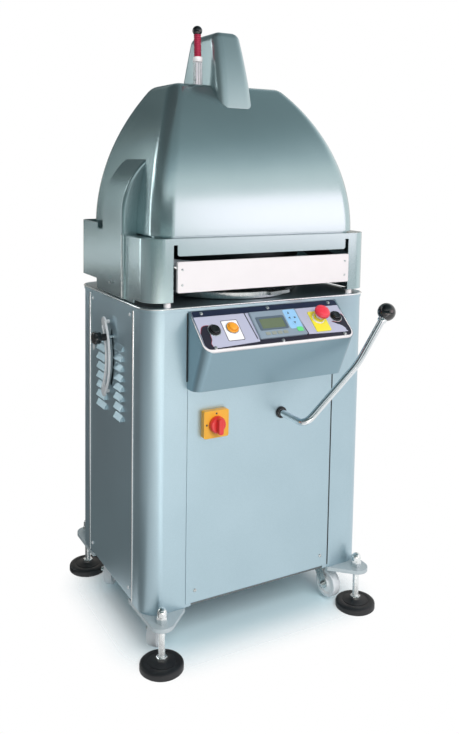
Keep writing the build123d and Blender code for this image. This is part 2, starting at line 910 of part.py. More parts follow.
# Rounding lever: a bent chrome bar that turns in a bush on the front panel
lever_plane_y = front_y - lever_reach
slope = radians(lever_slope)
tip_slope = radians(lever_tip_slope)
elbow_x = lever_x + lever_straight * cos(slope)
elbow_z = lever_z + lever_straight * sin(slope)
tip_x = elbow_x + lever_tip * cos(tip_slope)
tip_z = elbow_z + lever_tip * sin(tip_slope)
lever_path = FilletPolyline(
    (lever_x, front_y + lever_inside, lever_z),
    (lever_x, lever_plane_y, lever_z),
    (elbow_x, lever_plane_y, elbow_z),
    (tip_x, lever_plane_y, tip_z),
    radius=[lever_bend_radius, lever_sweep_radius],
)
rounding_lever = sweep(Plane(origin=lever_path @ 0, z_dir=lever_path % 0) * Circle(lever_radius), lever_path)
lever_arm = make_hull(
    (Pos(lever_x, lever_z) * Circle(lever_arm_width / 2)).edges()
    + (Pos(lever_x, lever_z - lever_arm_length) * Circle(lever_arm_width / 2)).edges()
)
rounding_lever += slab_y(lever_arm, front_y + lever_inside - lever_arm_thickness, front_y + lever_inside)
pieces["rounding_lever"] = rounding_lever
bush_front = front_y - lever_bush_proud
lever_bush = rod_y(lever_bush_radius, lever_x, bush_front, front_y, lever_z)
lever_bush += rod_y(lever_radius + lever_bush_wall, lever_x, front_y, front_y + panel_sheet, lever_z)
lever_bush -= rod_y(lever_radius + run_fit, lever_x, bush_front, front_y + panel_sheet, lever_z)
pieces["lever_bush"] = lever_bush
ball_reach = lever_ball_radius - lever_ball_seat
ball_x = tip_x + ball_reach * cos(tip_slope)
ball_z = tip_z + ball_reach * sin(tip_slope)
lever_ball = Pos(ball_x, lever_plane_y, ball_z) * Sphere(lever_ball_radius)
pieces["lever_ball"] = lever_ball - rounding_lever


# Hood: four bowed faces that lean in from a rectangular base to a flat top, with a hollow of the same form
def bowed_profile(low, high, low_radius, high_radius, height):
    """A profile between two arcs that start upright at its base, cut off at a height."""
    low_arc = Pos(low + low_radius, 0) * Circle(low_radius)
    high_arc = Pos(high - high_radius, 0) * Circle(high_radius)
    window = Pos((low + high) / 2, height / 2) * Rectangle(2 * (high - low), height)
    return Pos(0, hood_base) * (low_arc & high_arc & window)


def hood_form(inset):
    half_w = hood_half_width - inset
    front = hood_mid_y - hood_half_depth + inset
    rear = hood_mid_y + hood_half_depth - inset
    height = hood_height - inset
    side_r = hood_side_radius - inset
    lengthwise = bowed_profile(front, rear, hood_front_radius - inset, hood_rear_radius - inset, height)
    crosswise = bowed_profile(-half_w, half_w, side_r, side_r, height)
    form = slab_x(lengthwise, -half_w, half_w) & slab_y(crosswise, front, rear)
    upper = [e for e in form.edges() if e.bounding_box().max.Z > hood_base + height / 2]
    return fillet(upper, hood_ridge_radius - inset)


hood_outside = hood_form(0)
plinth_width = 2 * (hood_half_width - hood_plinth_inset)
plinth_depth = 2 * (hood_half_depth - hood_plinth_inset)
plinth_radius = hood_ridge_radius - hood_plinth_inset
flange_top = hood_base + hood_wall
mouth_width = plinth_width - 4 * hood_wall
mouth_depth = plinth_depth - 4 * hood_wall
hood_hollow = hood_form(hood_wall) - Pos(0, hood_mid_y) * rounded_prism(
    2 * hood_half_width, 2 * hood_half_depth, plinth_radius, hood_base, flange_top
)
plinth = Pos(0, hood_mid_y) * rounded_prism(plinth_width, plinth_depth, plinth_radius, ledge_z, hood_base)
mouth = Pos(0, hood_mid_y) * rounded_prism(
    mouth_width, mouth_depth, plinth_radius - 2 * hood_wall, ledge_z, flange_top
)
hatch = block(
    spine_x - hatch_size[0] / 2,
    spine_x + hatch_size[0] / 2,
    hatch_y - hatch_size[1] / 2,
    hatch_y + hatch_size[1] / 2,
    hood_base + spine_base_lift,
    hood_top,
)
lever_slot = block(
    top_lever_x - top_lever_slot[0] / 2,
    top_lever_x + top_lever_slot[0] / 2,
    pivot_y - top_lever_slot_lead,
    pivot_y - top_lever_slot_lead + top_lever_slot[1],
    pivot_z,
    hood_top,
)
pieces["hood"] = hood_outside + plinth - hood_hollow - mouth - hatch - lever_slot


# Spine cover: a hump over the press cylinder with bowed ends and sides that lean in, standing on the hood
def spine_form(inset):
    front = ThreePointArc(*spine_front)
    rear = ThreePointArc(*spine_rear)
    crown = Line(spine_front[-1], spine_rear[0])
    foot = Line(spine_rear[-1], spine_front[0])
    lengthwise = Sketch() + make_face([front, crown, rear, foot])
    half_low = spine_widths[0] / 2
    half_high = spine_widths[1] / 2
    crosswise = Pos(spine_x, 0) * Polygon(
        (-half_low, 0), (half_low, 0), (half_high, spine_height), (-half_high, spine_height), align=None
    )
    if inset:
        lengthwise = offset(lengthwise, -inset, kind=Kind.INTERSECTION)
        crosswise = offset(crosswise, -inset, kind=Kind.INTERSECTION)
    lift = Pos(0, hood_base + spine_base_lift)
    form = slab_x(lift * lengthwise, spine_x - half_low, spine_x + half_low)
    form &= slab_y(lift * crosswise, spine_front[0][0], spine_rear[-1][0])
    foot_z = hood_base + spine_base_lift + inset
    upper = [e for e in form.edges() if e.bounding_box().max.Z > foot_z + spine_height / 2]
    return fillet(upper, spine_edge_radius - inset)


pieces["spine_cover"] = spine_form(0) - spine_form(spine_wall) - hood_outside


# Side fairing: a pod on the left of the hood with a cover plate down the head
def fairing_form(inset):
    outer_x = -half_width - fairing_reach + inset
    bulge = (outer_x, ledge_z + fairing_bulge_top)
    crest = (-fairing_top_x + inset, ledge_z + fairing_top)
    rim = Polyline((0, crest[1]), (0, ledge_z), (outer_x, ledge_z), bulge)
    side = TangentArc(bulge, crest, tangent=(0, 1))
    back = Line(crest, (0, crest[1]))
    outline = make_face([*rim.edges(), side, back])
    form = slab_y(outline, fairing_span[0] + inset, fairing_span[1] - inset)
    front = [e for e in form.edges() if abs(e.center().Y - fairing_span[0] - inset) < 0.01]
    outside = [e for e in front if e.center().X < -fairing_top_x and e.bounding_box().size.Z > fairing_reach]
    return fillet(outside, fairing_edge_radius - inset)


pod = fairing_form(0) - fairing_form(fairing_wall) - hood_outside
pod -= block(fairing_wall - hood_half_width, half_width, *fairing_span, ledge_z, hood_base)
cover_x = -half_width - fairing_plate_proud
cover_plate = block(
    cover_x,
    -half_width,
    fairing_span[0],
    rear_lift_start - fairing_plate_gap,
    head_z - skirt_tab_drop + fairing_plate_lift,
    ledge_z + fairing_wall,
)
cover_plate += rod_x(screw_radius, cover_x - screw_height, cover_x, 0, head_z + fairing_screw_lift)
pieces["side_fairing"] = pod + cover_plate


# Head surround: the square skirt of the press head with a ledge for the hood
def surround_plan(inset):
    """The head's outline, with tighter corners at the rear."""
    width = cabinet_width - 2 * inset
    depth = cabinet_depth - 2 * inset
    front = RectangleRounded(width, depth, corner_radius - inset)
    rear = RectangleRounded(width, depth, rear_corner_radius - inset)
    front_half = Pos(0, -depth / 2) * Rectangle(2 * width, depth)
    rear_half = Pos(0, depth / 2) * Rectangle(2 * width, depth)
    return (front & front_half) + (rear & rear_half)


surround = Pos(0, 0, head_z) * extrude(surround_plan(0), surround_height)
surround -= Pos(0, 0, head_z) * extrude(surround_plan(surround_wall), surround_height - surround_ledge)
rear_band = extrude(surround_plan(0) - surround_plan(surround_wall), rear_band_height)
surround += Pos(0, 0, ledge_z) * rear_band & block(
    -half_width, half_width, rear_lift_start, half_depth, ledge_z, ledge_z + rear_band_height
)
surround -= rounded_prism(
    cabinet_width - 2 * ledge_width_side,
    cabinet_depth - 2 * ledge_width_front,
    corner_radius - ledge_width_front,
    ledge_z - surround_ledge,
    ledge_z,
)
front_back = front_y + surround_wall
surround -= block(-slot_outer_x, slot_outer_x, front_y, front_back, head_z, head_z + strip_bottom)
for side in (-1, 1):
    slot_mid = side * (slot_inner_x + slot_outer_x) / 2
    slot_half = (slot_outer_x - slot_inner_x) / 2
    surround -= block(
        slot_mid - slot_half, slot_mid + slot_half, front_y, front_back, head_z, head_z + slot_top
    )
strip_corners = [
    e
    for e in surround.edges().filter_by(Axis.Y)
    if abs(abs(e.center().X) - slot_inner_x) < 0.01 and abs(e.center().Z - head_z - strip_bottom) < 0.01
]
surround = fillet(strip_corners, strip_corner)
surround -= block(-half_width, half_width, rear_lift_start, half_depth, head_z, head_z + rear_lift)
corner_feet = rounded_prism(cabinet_width, cabinet_depth, corner_radius, head_z, head_z + surround_wall)
lug_root = Rectangle(2 * surround_wall, hinge_lug_span)
lug_sketch = make_hull(
    (Pos(hinge_y, hinge_z) * Circle(hinge_lug_radius)).edges()
    + (Pos(half_depth - 2 * surround_wall, hinge_z + hinge_lug_rise) * lug_root).edges()
)
lug_sketch -= Pos(hinge_y, hinge_z) * Circle(hinge_pin_radius + run_fit)
arm_pivot_z = head_z + arm_pivot_lift
arm_lug_x = flap_half_width + 2 * arm_thickness
arm_lug_z = ledge_z - surround_ledge - arm_lug_depth / 2
arm_lug = make_hull(
    (Pos(arm_pivot_y, arm_pivot_z) * Circle(arm_boss_radius)).edges()
    + (Pos(arm_pivot_y, arm_lug_z) * Rectangle(4 * arm_boss_radius, arm_lug_depth)).edges()
)
arm_mid_x = (slot_inner_x + slot_outer_x) / 2
for side in (-1, 1):
    tab_x = sorted((side * half_width, side * (half_width - surround_wall)))
    surround += block(*tab_x, panel_seam - seam_y, rear_lift_start, head_z - skirt_tab_drop, head_z)
    foot_x = sorted((side * slot_outer_x, side * half_width))
    surround += corner_feet & block(
        *foot_x, front_y, -bumper_y + foot_flange, head_z, head_z + surround_wall
    )
    hinge_span = (side * hinge_x - hinge_lug_width / 2, side * hinge_x + hinge_lug_width / 2)
    surround += slab_x(lug_sketch, *hinge_span)
    lug_span = sorted((side * arm_lug_x, side * (arm_lug_x + 2 * arm_thickness)))
    surround += slab_x(arm_lug, *lug_span)
    pin_span = sorted((side * (arm_mid_x - arm_thickness / 2), side * arm_lug_x))
    surround += rod_x(arm_pivot_radius, *pin_span, arm_pivot_y, arm_pivot_z)
pieces["head_surround"] = surround

# Head bumpers on the cabinet top
pieces["head_bumpers"] = group(
    rod_z(bumper_radius, side * bumper_x, -bumper_y, top_z, head_z) for side in (-1, 1)
)

# Head hinge brackets with their pins
bracket_sketch = make_hull(
    (Pos(hinge_y, hinge_z) * Circle(hinge_lug_radius)).edges()
    + (Pos(hinge_y, top_z + hinge_foot / 2) * Rectangle(4 * hinge_lug_radius, hinge_foot)).edges()
)
hinge_brackets = []
for side in (-1, 1):
    inner_face = hinge_x - hinge_lug_width / 2 - hinge_side_gap
    span = sorted((side * inner_face, side * (inner_face - hinge_block_width)))
    pin_span = sorted((side * inner_face, side * (hinge_x + hinge_lug_width / 2)))
    hinge_brackets.append(
        slab_x(bracket_sketch, *span) + rod_x(hinge_pin_radius, *pin_span, hinge_y, hinge_z)
    )
pieces["head_hinge_brackets"] = group(hinge_brackets)

# Guard flap across the front of the head, carried by two arms
flap_back = front_y - flap_gap
flap_z = head_z + flap_bottom
flap_size = RectangleRounded(2 * flap_half_width, flap_height, flap_corner)
flap_sketch = Pos(0, flap_z + flap_height / 2) * flap_size
pieces["guard_flap"] = slab_y(flap_sketch, flap_back - flap_thickness, flap_back)
arm_sketch = make_hull(
    (Pos(arm_pivot_y, arm_pivot_z) * Circle(arm_boss_radius)).edges()
    + Polygon(
        (flap_back, head_z + arm_front[0]),
        (flap_back + arm_pad, head_z + arm_front[0]),
        (flap_back + arm_pad, head_z + arm_front[1]),
        (flap_back, head_z + arm_front[1]),
        align=None,
    ).edges()
)
arm_sketch -= Pos(arm_pivot_y, arm_pivot_z) * Circle(arm_pivot_radius + run_fit)
pieces["flap_arms"] = group(
    slab_x(arm_sketch, side * arm_mid_x - arm_thickness / 2, side * arm_mid_x + arm_thickness / 2)
    for side in (-1, 1)
)

# Press cylinder on its bridge, with the lug that carries the top lever
bridge_top = ledge_z + bridge_thickness
cylinder_top = bridge_top + cylinder_height
press_cylinder = block(
    -bridge_half_width, bridge_half_width, -bridge_half_depth, bridge_half_depth, ledge_z, bridge_top
)
press_cylinder += rod_z(cylinder_radius, 0, 0, bridge_top, cylinder_top)
press_cylinder += rod_z(rod_guide_radius, 0, 0, cylinder_top, cylinder_top + rod_guide_height)
lug_low = top_lever_x + top_lever_bar[0] / 2 + top_lever_lug_gap
lug_high = lug_low + top_lever_lug_sheet
lug_half = top_lever_lug_width / 2
arm_z = pivot_z - top_lever_arm_drop
arm_top = arm_z + top_lever_arm_height
lug_y = (pivot_y - lug_half, pivot_y + lug_half)
press_cylinder += block(lug_low, 0, *lug_y, arm_z, arm_top)
press_cylinder += block(lug_low, lug_high, *lug_y, arm_z, pivot_z + lug_half)
press_cylinder += rod_x(
    top_lever_pin_radius, top_lever_x - top_lever_bar[0] / 2, lug_low, pivot_y, pivot_z
)
press_top = press_z + press_depth
press_cylinder -= rod_z(rod_radius + run_fit, 0, 0, ledge_z, press_top + rod_length + rod_spare)
pieces["press_cylinder"] = press_cylinder

# Press plate: a thick disc split into segments by the knife slots, on its piston rod
segment_top = press_top - press_back
blade_half = knife_thickness / 2 + knife_clearance
press_plate = rod_z(press_radius, 0, 0, press_z, press_top)
hub_inner = knife_hub_radius - knife_ring_wall
hub_slot = rod_z(knife_hub_radius + knife_clearance, 0, 0, press_z, segment_top)
hub_slot -= rod_z(hub_inner - knife_clearance, 0, 0, press_z, segment_top)
knife_slots = [hub_slot]
for knife in range(knife_count):
    blade_slot = block(knife_hub_radius, knife_ring_radius, -blade_half, blade_half, press_z, segment_top)
    knife_slots.append(Rot(0, 0, 360 / knife_count * (knife + 0.5)) * blade_slot)
press_plate -= knife_slots
press_plate += rod_z(rod_radius, 0, 0, press_top, press_top + rod_length)
pieces["press_plate"] = press_plate

# Knife set: blades between a hub and an outer ring
knife_low = press_z + knife_end_gap
knife_high = segment_top - knife_end_gap
knife_ring_inner = knife_ring_radius - knife_ring_wall
knife_set = rod_z(knife_hub_radius, 0, 0, knife_low, knife_high)
knife_set -= rod_z(hub_inner, 0, 0, knife_low, knife_high)
outer_ring = rod_z(knife_ring_radius, 0, 0, knife_low, knife_high)
outer_ring -= rod_z(knife_ring_inner, 0, 0, knife_low, knife_high)
blades = []
for knife in range(knife_count):
    blade = block(
        knife_hub_radius - knife_ring_wall / 2,
        knife_ring_radius - knife_ring_wall / 2,
        -knife_thickness / 2,
        knife_thickness / 2,
        knife_low,
        knife_high,
    )
    blades.append(Rot(0, 0, 360 / knife_count * (knife + 0.5)) * blade)
pieces["knife_set"] = knife_set + outer_ring + blades

# Dividing ring hung under the bridge round the press
ring_low = press_z - dividing_ring_drop
dividing_ring = rod_z(dividing_ring_radius, 0, 0, ring_low, ledge_z)
dividing_ring -= rod_z(dividing_ring_radius - dividing_ring_wall, 0, 0, ring_low, ledge_z)
pieces["dividing_ring"] = dividing_ring

# Top lever: flat bar and collar, then a grip with a ball end
lever_frame = Pos(top_lever_x, pivot_y, pivot_z) * Rot(-top_lever_lean, 0, 0)
bar_mid = (top_lever_bar_length - top_lever_heel) / 2
bar = Pos(0, 0, bar_mid) * Box(*top_lever_bar, top_lever_bar_length + top_lever_heel)
bar -= rod_x(top_lever_pin_radius + run_fit, -top_lever_bar[0], top_lever_bar[0], 0, 0)
collar_top = top_lever_bar_length + top_lever_collar
bar += rod_z(top_lever_collar_radius, 0, 0, top_lever_bar_length, collar_top)
pieces["top_lever"] = lever_frame * bar
grip_top = collar_top + top_lever_grip
grip = rod_z(top_lever_grip_radius, 0, 0, collar_top, grip_top)
grip += Pos(0, 0, grip_top + top_lever_knob_radius - top_lever_knob_seat) * Sphere(top_lever_knob_radius)
pieces["top_lever_grip"] = lever_frame * grip

# Rounding drive: motor and gearbox under the top, crank with an eccentric pin
pin_y = -crank_throw
hub_bottom = table_z - table_hub_depth
disc_top = hub_bottom - crank_disc_gap
disc_bottom = disc_top - crank_disc_thickness
crank = rod_z(crank_disc_radius, 0, 0, disc_bottom, disc_top)
crank += rod_z(crank_shaft_radius, 0, 0, disc_bottom - crank_shaft_length, disc_bottom)
crank += rod_z(crank_pin_radius, 0, pin_y, disc_top, table_z - crank_pin_gap)
pieces["eccentric_crank"] = crank
gearbox_top = disc_bottom - gearbox_gap
gearbox_bottom = gearbox_top - gearbox_height
drive_motor = rod_z(gearbox_radius, 0, 0, gearbox_bottom, gearbox_top)
drive_motor += rod_z(motor_radius, 0, 0, gearbox_bottom - motor_height, gearbox_bottom)
for leg in range(motor_leg_count):
    turn = radians(360 / motor_leg_count * (leg + 0.5))
    drive_motor += rod_z(
        motor_leg_radius,
        motor_leg_circle * cos(turn),
        motor_leg_circle * sin(turn),
        gearbox_top,
        top_z - top_sheet,
    )
drive_motor -= rod_z(
    crank_shaft_radius + run_fit, 0, 0, disc_bottom - crank_shaft_length - shaft_end_gap, gearbox_top
)
pieces["drive_motor"] = drive_motor

# Orbiting table and the moulding plate that lies on it
table = rod_z(table_radius, 0, pin_y, table_z, plate_z)
table += rod_z(table_hub_radius, 0, pin_y, hub_bottom, table_z)
table -= rod_z(crank_pin_radius + run_fit, 0, pin_y, hub_bottom, table_z - crank_pin_gap + loose_fit)
pieces["orbital_table"] = table
plate_top = plate_z + plate_thickness
moulding_plate = rod_z(plate_radius, 0, pin_y, plate_z, plate_top)
plate_tab_frame = Pos(0, pin_y) * Rot(0, 0, plate_tab_angle)
moulding_plate += plate_tab_frame * block(
    plate_radius - plate_tab[1],
    plate_radius + plate_tab[1] / 2,
    -plate_tab[0] / 2,
    plate_tab[0] / 2,
    plate_z,
    plate_top,
)
pieces["moulding_plate"] = moulding_plate

# Hydraulic power unit on the base tray
tank_x, tank_y = tank_place
tank_bottom = post_bottom + base_sheet
tank_top = tank_bottom + tank_size[2]
tank = Pos(tank_x, tank_y, tank_bottom + tank_size[2] / 2) * Box(*tank_size)
tank = fillet(tank.edges().filter_by(Axis.Z), tank_corner)
hydraulic_unit = tank + rod_z(pump_radius, tank_x, tank_y, tank_top, tank_top + pump_height)
pieces["hydraulic_unit"] = hydraulic_unit

# Cable gland on the rear panel
gland = rod_y(gland_neck_radius, gland_x, half_depth - panel_sheet, half_depth, gland_z)
gland += rod_y(gland_radius, gland_x, half_depth, half_depth + gland_length, gland_z)
gland -= rod_y(gland_bore, gland_x, half_depth - panel_sheet, half_depth + gland_length, gland_z)
pieces["cable_gland"] = gland

# Screw heads on the panels and the fascia
screws = []
screw_y = seam_y - side_screw_inset
screw_v = fascia_depth / 2 - fascia_screw_inset
screw_u = fascia_width / 2 - fascia_screw_end
for side in (-1, 1):
    front_x = side * (seam_x - front_screw_inset)
    front_z = post_bottom + front_screw_lift
    screws.append(rod_y(screw_radius, front_x, front_y - screw_height, front_y, front_z))
    side_x = sorted((side * half_width, side * (half_width + screw_height)))
    for y in (-screw_y, screw_y):
        screws.append(rod_x(screw_radius, *side_x, y, post_top - side_screw_drop))
        screws.append(rod_x(screw_radius, *side_x, y, post_bottom + side_screw_lift))
    for u in (-screw_u, 0, screw_u):
        seat = (u, side * screw_v)
        screws.append(fascia_rod(screw_radius, seat, fascia_sheet, fascia_sheet + screw_height))
pieces["panel_screws"] = group(screws)

# The origin goes on the floor under the middle of the whole machine's box
left_end = guide_x - guide_sheet - loose_fit - weight_stem_length - weight_knob_length
right_end = stud_x + pad_radius
front_end = lever_plane_y - lever_ball_radius
rear_end = stud_y + pad_radius
to_origin = Pos(-(left_end + right_end) / 2, -(front_end + rear_end) / 2)

os.makedirs("parts", exist_ok=True)
for name, piece in pieces.items():
    solids = [to_origin * solid for solid in piece.solids()]
    export_step(solids[0] if len(solids) == 1 else group(solids), f"parts/{name}.step")
    print(name, len(solids))
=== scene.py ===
# %% [markdown]
# # Dressing a dough divider rounder
# The machine is a floor-standing press for a bakery: a sheet-steel cabinet on levelling feet, a sloped
# control console, and a hinged press head under an arched hood. Its shape, sizes and joints come from the
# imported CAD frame. In this lesson we add what CAD leaves out: studio light, real finishes, printed film,
# knobs, screw heads, threads and rubber. Every piece we add rides on the CAD body that carries it.

# %% Load the frame
import bpy
import bmesh
import json
from math import cos, pi, radians, sin
from mathutils import Matrix, Vector


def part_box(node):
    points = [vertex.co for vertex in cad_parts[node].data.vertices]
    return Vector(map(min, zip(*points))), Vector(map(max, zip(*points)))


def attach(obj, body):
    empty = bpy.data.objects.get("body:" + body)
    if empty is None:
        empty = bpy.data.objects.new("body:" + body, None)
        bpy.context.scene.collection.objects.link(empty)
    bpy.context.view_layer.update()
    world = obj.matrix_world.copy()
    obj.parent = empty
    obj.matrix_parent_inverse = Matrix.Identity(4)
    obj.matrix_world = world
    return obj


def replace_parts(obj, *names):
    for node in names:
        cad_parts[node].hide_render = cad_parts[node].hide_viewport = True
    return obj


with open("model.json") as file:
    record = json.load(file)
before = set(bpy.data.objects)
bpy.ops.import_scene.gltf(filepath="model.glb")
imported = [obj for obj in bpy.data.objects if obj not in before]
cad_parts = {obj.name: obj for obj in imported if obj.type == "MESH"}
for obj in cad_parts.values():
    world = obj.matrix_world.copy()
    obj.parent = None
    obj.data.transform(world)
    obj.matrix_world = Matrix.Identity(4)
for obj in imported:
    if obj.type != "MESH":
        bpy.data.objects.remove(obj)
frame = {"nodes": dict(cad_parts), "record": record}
nodes = frame["nodes"]
joints = {joint["name"]: joint for joint in frame["record"]["behaviour"]["joints"]}
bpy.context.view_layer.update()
scene = bpy.context.scene
scene.view_settings.view_transform = "Standard"
MM = 0.001
# The drawing is laid out from the press axis, which stands here in the shared frame, in millimetres.
PRESS_AXIS = Vector((14.925, 24.75, 0.0))

# %% [markdown]
# ## Camera
# The photograph was taken from the machine's front left, a little above the console, with a slight roll.
# We could place the camera by eye, but a few known corners of the cabinet fix its angle, distance and
# focal length together. The optical axis passes above the middle of the picture, so the lens is shifted
# down instead of tilting the camera, which keeps the posts almost upright.

# %% Camera
PICTURE = (459, 734)
azimuth, elevation, roll = radians(-29.241), radians(5.047), radians(0.910)
aim = (PRESS_AXIS + Vector((22.01, 0.0, 989.67))) * MM
distance = 2140.5 * MM
focal_px = 786.66
axis_column, axis_row = 228.48, 236.30

back = Vector((sin(azimuth) * cos(elevation), -cos(azimuth) * cos(elevation), sin(elevation)))
level = Vector((0, 0, 1)).cross(back).normalized()
upright = back.cross(level)
right = level * cos(roll) + upright * sin(roll)
up = upright * cos(roll) - level * sin(roll)
optics = bpy.data.cameras.new("studio_camera")
optics.sensor_width = 36.0
optics.lens = focal_px * optics.sensor_width / PICTURE[1]
optics.shift_x = (PICTURE[0] / 2 - axis_column) / PICTURE[1]
optics.shift_y = (axis_row - PICTURE[1] / 2) / PICTURE[1]
optics.clip_start, optics.clip_end = 0.05, 50
camera = bpy.data.objects.new("studio_camera", optics)
turn = Matrix((right, up, back)).transposed().to_4x4()
camera.matrix_world = Matrix.Translation(aim + back * distance) @ turn
scene.collection.objects.link(camera)
scene.camera = camera
print("camera at", [round(c, 3) for c in camera.location], "lens", round(optics.lens, 2), "mm")

# %% [markdown]
# ## Colour and node helpers
# Colours are easiest to name as sRGB hex codes, the way a paint chart or a picture editor gives them, but
# a shader works in linear light. One function converts them. A second one adds a shader node with its
# settings, and links or sets its inputs, so that each finish below reads as a short list of layers.

# %% Colour and node helpers
def linear(code):
    """An sRGB hex colour as linear RGBA."""
    parts = [int(code[i:i + 2], 16) / 255 for i in (1, 3, 5)]
    return (*[c / 12.92 if c <= 0.04045 else ((c + 0.055) / 1.055) ** 2.4 for c in parts], 1.0)


def add(tree, kind, inputs=None, **settings):
    """A new node: settings are its own properties, inputs are values or sockets to link."""
    made = tree.nodes.new("ShaderNode" + kind)
    for name, value in settings.items():
        setattr(made, name, value)
    for name, value in (inputs or {}).items():
        if isinstance(value, bpy.types.NodeSocket):
            tree.links.new(value, made.inputs[name])
        else:
            made.inputs[name].default_value = value
    return made


def blank(name):
    """An empty material and its node tree."""
    finish = bpy.data.materials.new(name)
    finish.use_nodes = True
    finish.node_tree.nodes.clear()
    return finish, finish.node_tree


print("mid grey #808080 is", round(linear("#808080")[0], 3), "in linear light")

# %% [markdown]
# ## Studio
# A product photographer stands the machine on a white sweep, lights it with soft boxes, and hangs grey
# cards around it, so that the satin paint has something to mirror: white at the front, dark above, grey
# at the far left. The floor is a real pale surface that takes the shadow, and fades out into a white
# world a hand's breadth from the feet. The cards hang out of the camera's sight and cast no shadow.

# %% Floor
SWEEP_HALF = 4.0
# In metres: half the sides of the block round which the floor shows, and where it starts and stops fading.
FLOOR_BLOCK = (0.20, 0.14, 0.0)
FADE_START, FADE_STOP = 0.03, 0.21
floor_finish, tree = blank("matt_white_sweep")
spot = add(tree, "NewGeometry").outputs["Position"]
offset = add(tree, "VectorMath", {0: spot, 1: PRESS_AXIS * MM}, operation="SUBTRACT")
reach = add(tree, "VectorMath", {0: offset.outputs[0]}, operation="ABSOLUTE")
past = add(tree, "VectorMath", {0: reach.outputs[0], 1: FLOOR_BLOCK}, operation="SUBTRACT")
outside = add(tree, "VectorMath", {0: past.outputs[0]}, operation="MAXIMUM")
span = add(tree, "VectorMath", {0: outside.outputs[0]}, operation="LENGTH")
fade = add(tree, "MapRange", {"Value": span.outputs["Value"], "From Min": FADE_START, "From Max": FADE_STOP},
           interpolation_type="SMOOTHSTEP")
paper = add(tree, "BsdfDiffuse", {"Color": linear("#def8ff")})
clear = add(tree, "BsdfTransparent")
mixed = add(tree, "MixShader", {0: fade.outputs[0], 1: paper.outputs[0], 2: clear.outputs[0]})
add(tree, "OutputMaterial", {"Surface": mixed.outputs[0]})


def stage_sheet(name, corners, faces, finish):
    """A sheet of the studio, which is not part of the machine."""
    mesh = bpy.data.meshes.new(name)
    mesh.from_pydata(corners, [], faces)
    mesh.materials.append(finish)
    made = bpy.data.objects.new(name, mesh)
    scene.collection.objects.link(made)
    return made


sweep_corners = [(x * SWEEP_HALF, y * SWEEP_HALF, 0) for x, y in ((-1, -1), (1, -1), (1, 1), (-1, 1))]
stage_sheet("sweep", sweep_corners, [(0, 1, 2, 3)], floor_finish)
print("floor fades out", FADE_STOP - FADE_START, "m further on")

# %% White world
# The camera, reflections and glass see plain white. The machine itself is lit by a softer, cooler fill.
world = bpy.data.worlds.new("white_studio")
world.use_nodes = True
tree = world.node_tree
tree.nodes.clear()
rays = add(tree, "LightPath").outputs
seen = add(tree, "Math", {0: rays["Is Camera Ray"], 1: rays["Is Glossy Ray"]}, operation="MAXIMUM")
seen = add(tree, "Math", {0: seen.outputs[0], 1: rays["Is Transmission Ray"]}, operation="MAXIMUM")
fill = add(tree, "Background", {"Color": linear("#eef3f6"), "Strength": 0.5})
white = add(tree, "Background", {"Color": (1, 1, 1, 1), "Strength": 1.0})
sky = add(tree, "MixShader", {0: seen.outputs[0], 1: fill.outputs[0], 2: white.outputs[0]})
add(tree, "OutputWorld", {"Surface": sky.outputs[0]})
scene.world = world
print("world:", world.name)

# %% Soft boxes
SOFT_BOXES = {
    # name: (place, aim, width, height, watts, colour, shows in reflections)
    "key_box": ((-0.2, -2.6, 2.4), (0.0, 0.0, 0.7), 1.6, 1.6, 62.0, "#ffffff", False),
    "front_box": ((1.95, -2.6, 1.36), (0.1, 0.0, 1.0), 1.9, 1.36, 10.5, "#ffd9e2", True),
}
for name, (place, target, width, height, watts, code, mirrored) in SOFT_BOXES.items():
    lamp = bpy.data.lights.new(name, "AREA")
    lamp.shape, lamp.size, lamp.size_y, lamp.energy = "RECTANGLE", width, height, watts
    lamp.color = linear(code)[:3]
    box = bpy.data.objects.new(name, lamp)
    box.location = place
    box.rotation_euler = (Vector(target) - Vector(place)).to_track_quat("-Z", "Y").to_euler()
    box.visible_glossy = mirrored
    scene.collection.objects.link(box)
print("soft boxes:", list(SOFT_BOXES))


# %% Tones of the grey cards
def tone_ramp(tree, value, stops):
    """A colour that runs through (place, code) stops as a value grows."""
    low, high = stops[0][0], stops[-1][0]
    share = add(tree, "MapRange", {"Value": value, "From Min": low, "From Max": high})
    ramp = add(tree, "ValToRGB", {"Fac": share.outputs[0]})
    elements = ramp.color_ramp.elements
    for place, code in stops[1:-1]:
        elements.new((place - low) / (high - low)).color = linear(code)
    elements[0].color, elements[-1].color = linear(stops[0][1]), linear(stops[-1][1])
    return ramp.outputs["Color"]


ANY_TURN = ((-180, "#ffffff"), (180, "#ffffff"))


def card_finish(name, heights, turns=ANY_TURN, glow=1.0):
    """Card whose tone runs with its height in metres, and with its turn in degrees from the front."""
    finish, tree = blank(name)
    spot = add(tree, "SeparateXYZ", {0: add(tree, "NewGeometry").outputs["Position"]}).outputs
    front = add(tree, "Math", {0: spot["Y"], 1: -1.0}, operation="MULTIPLY")
    turn = add(tree, "Math", {0: spot["X"], 1: front.outputs[0]}, operation="ARCTAN2")
    degrees = add(tree, "Math", {0: turn.outputs[0]}, operation="DEGREES")
    by_height = tone_ramp(tree, spot["Z"], heights)
    by_turn = tone_ramp(tree, degrees.outputs[0], turns)
    tone = add(tree, "Mix", {0: 1.0, 6: by_height, 7: by_turn}, data_type="RGBA", blend_type="MULTIPLY")
    lit = add(tree, "Emission", {"Color": tone.outputs[2], "Strength": glow})
    add(tree, "OutputMaterial", {"Surface": lit.outputs[0]})
    return finish


def flat(code):
    """One tone at every height."""
    return (0.0, code), (1.0, code)


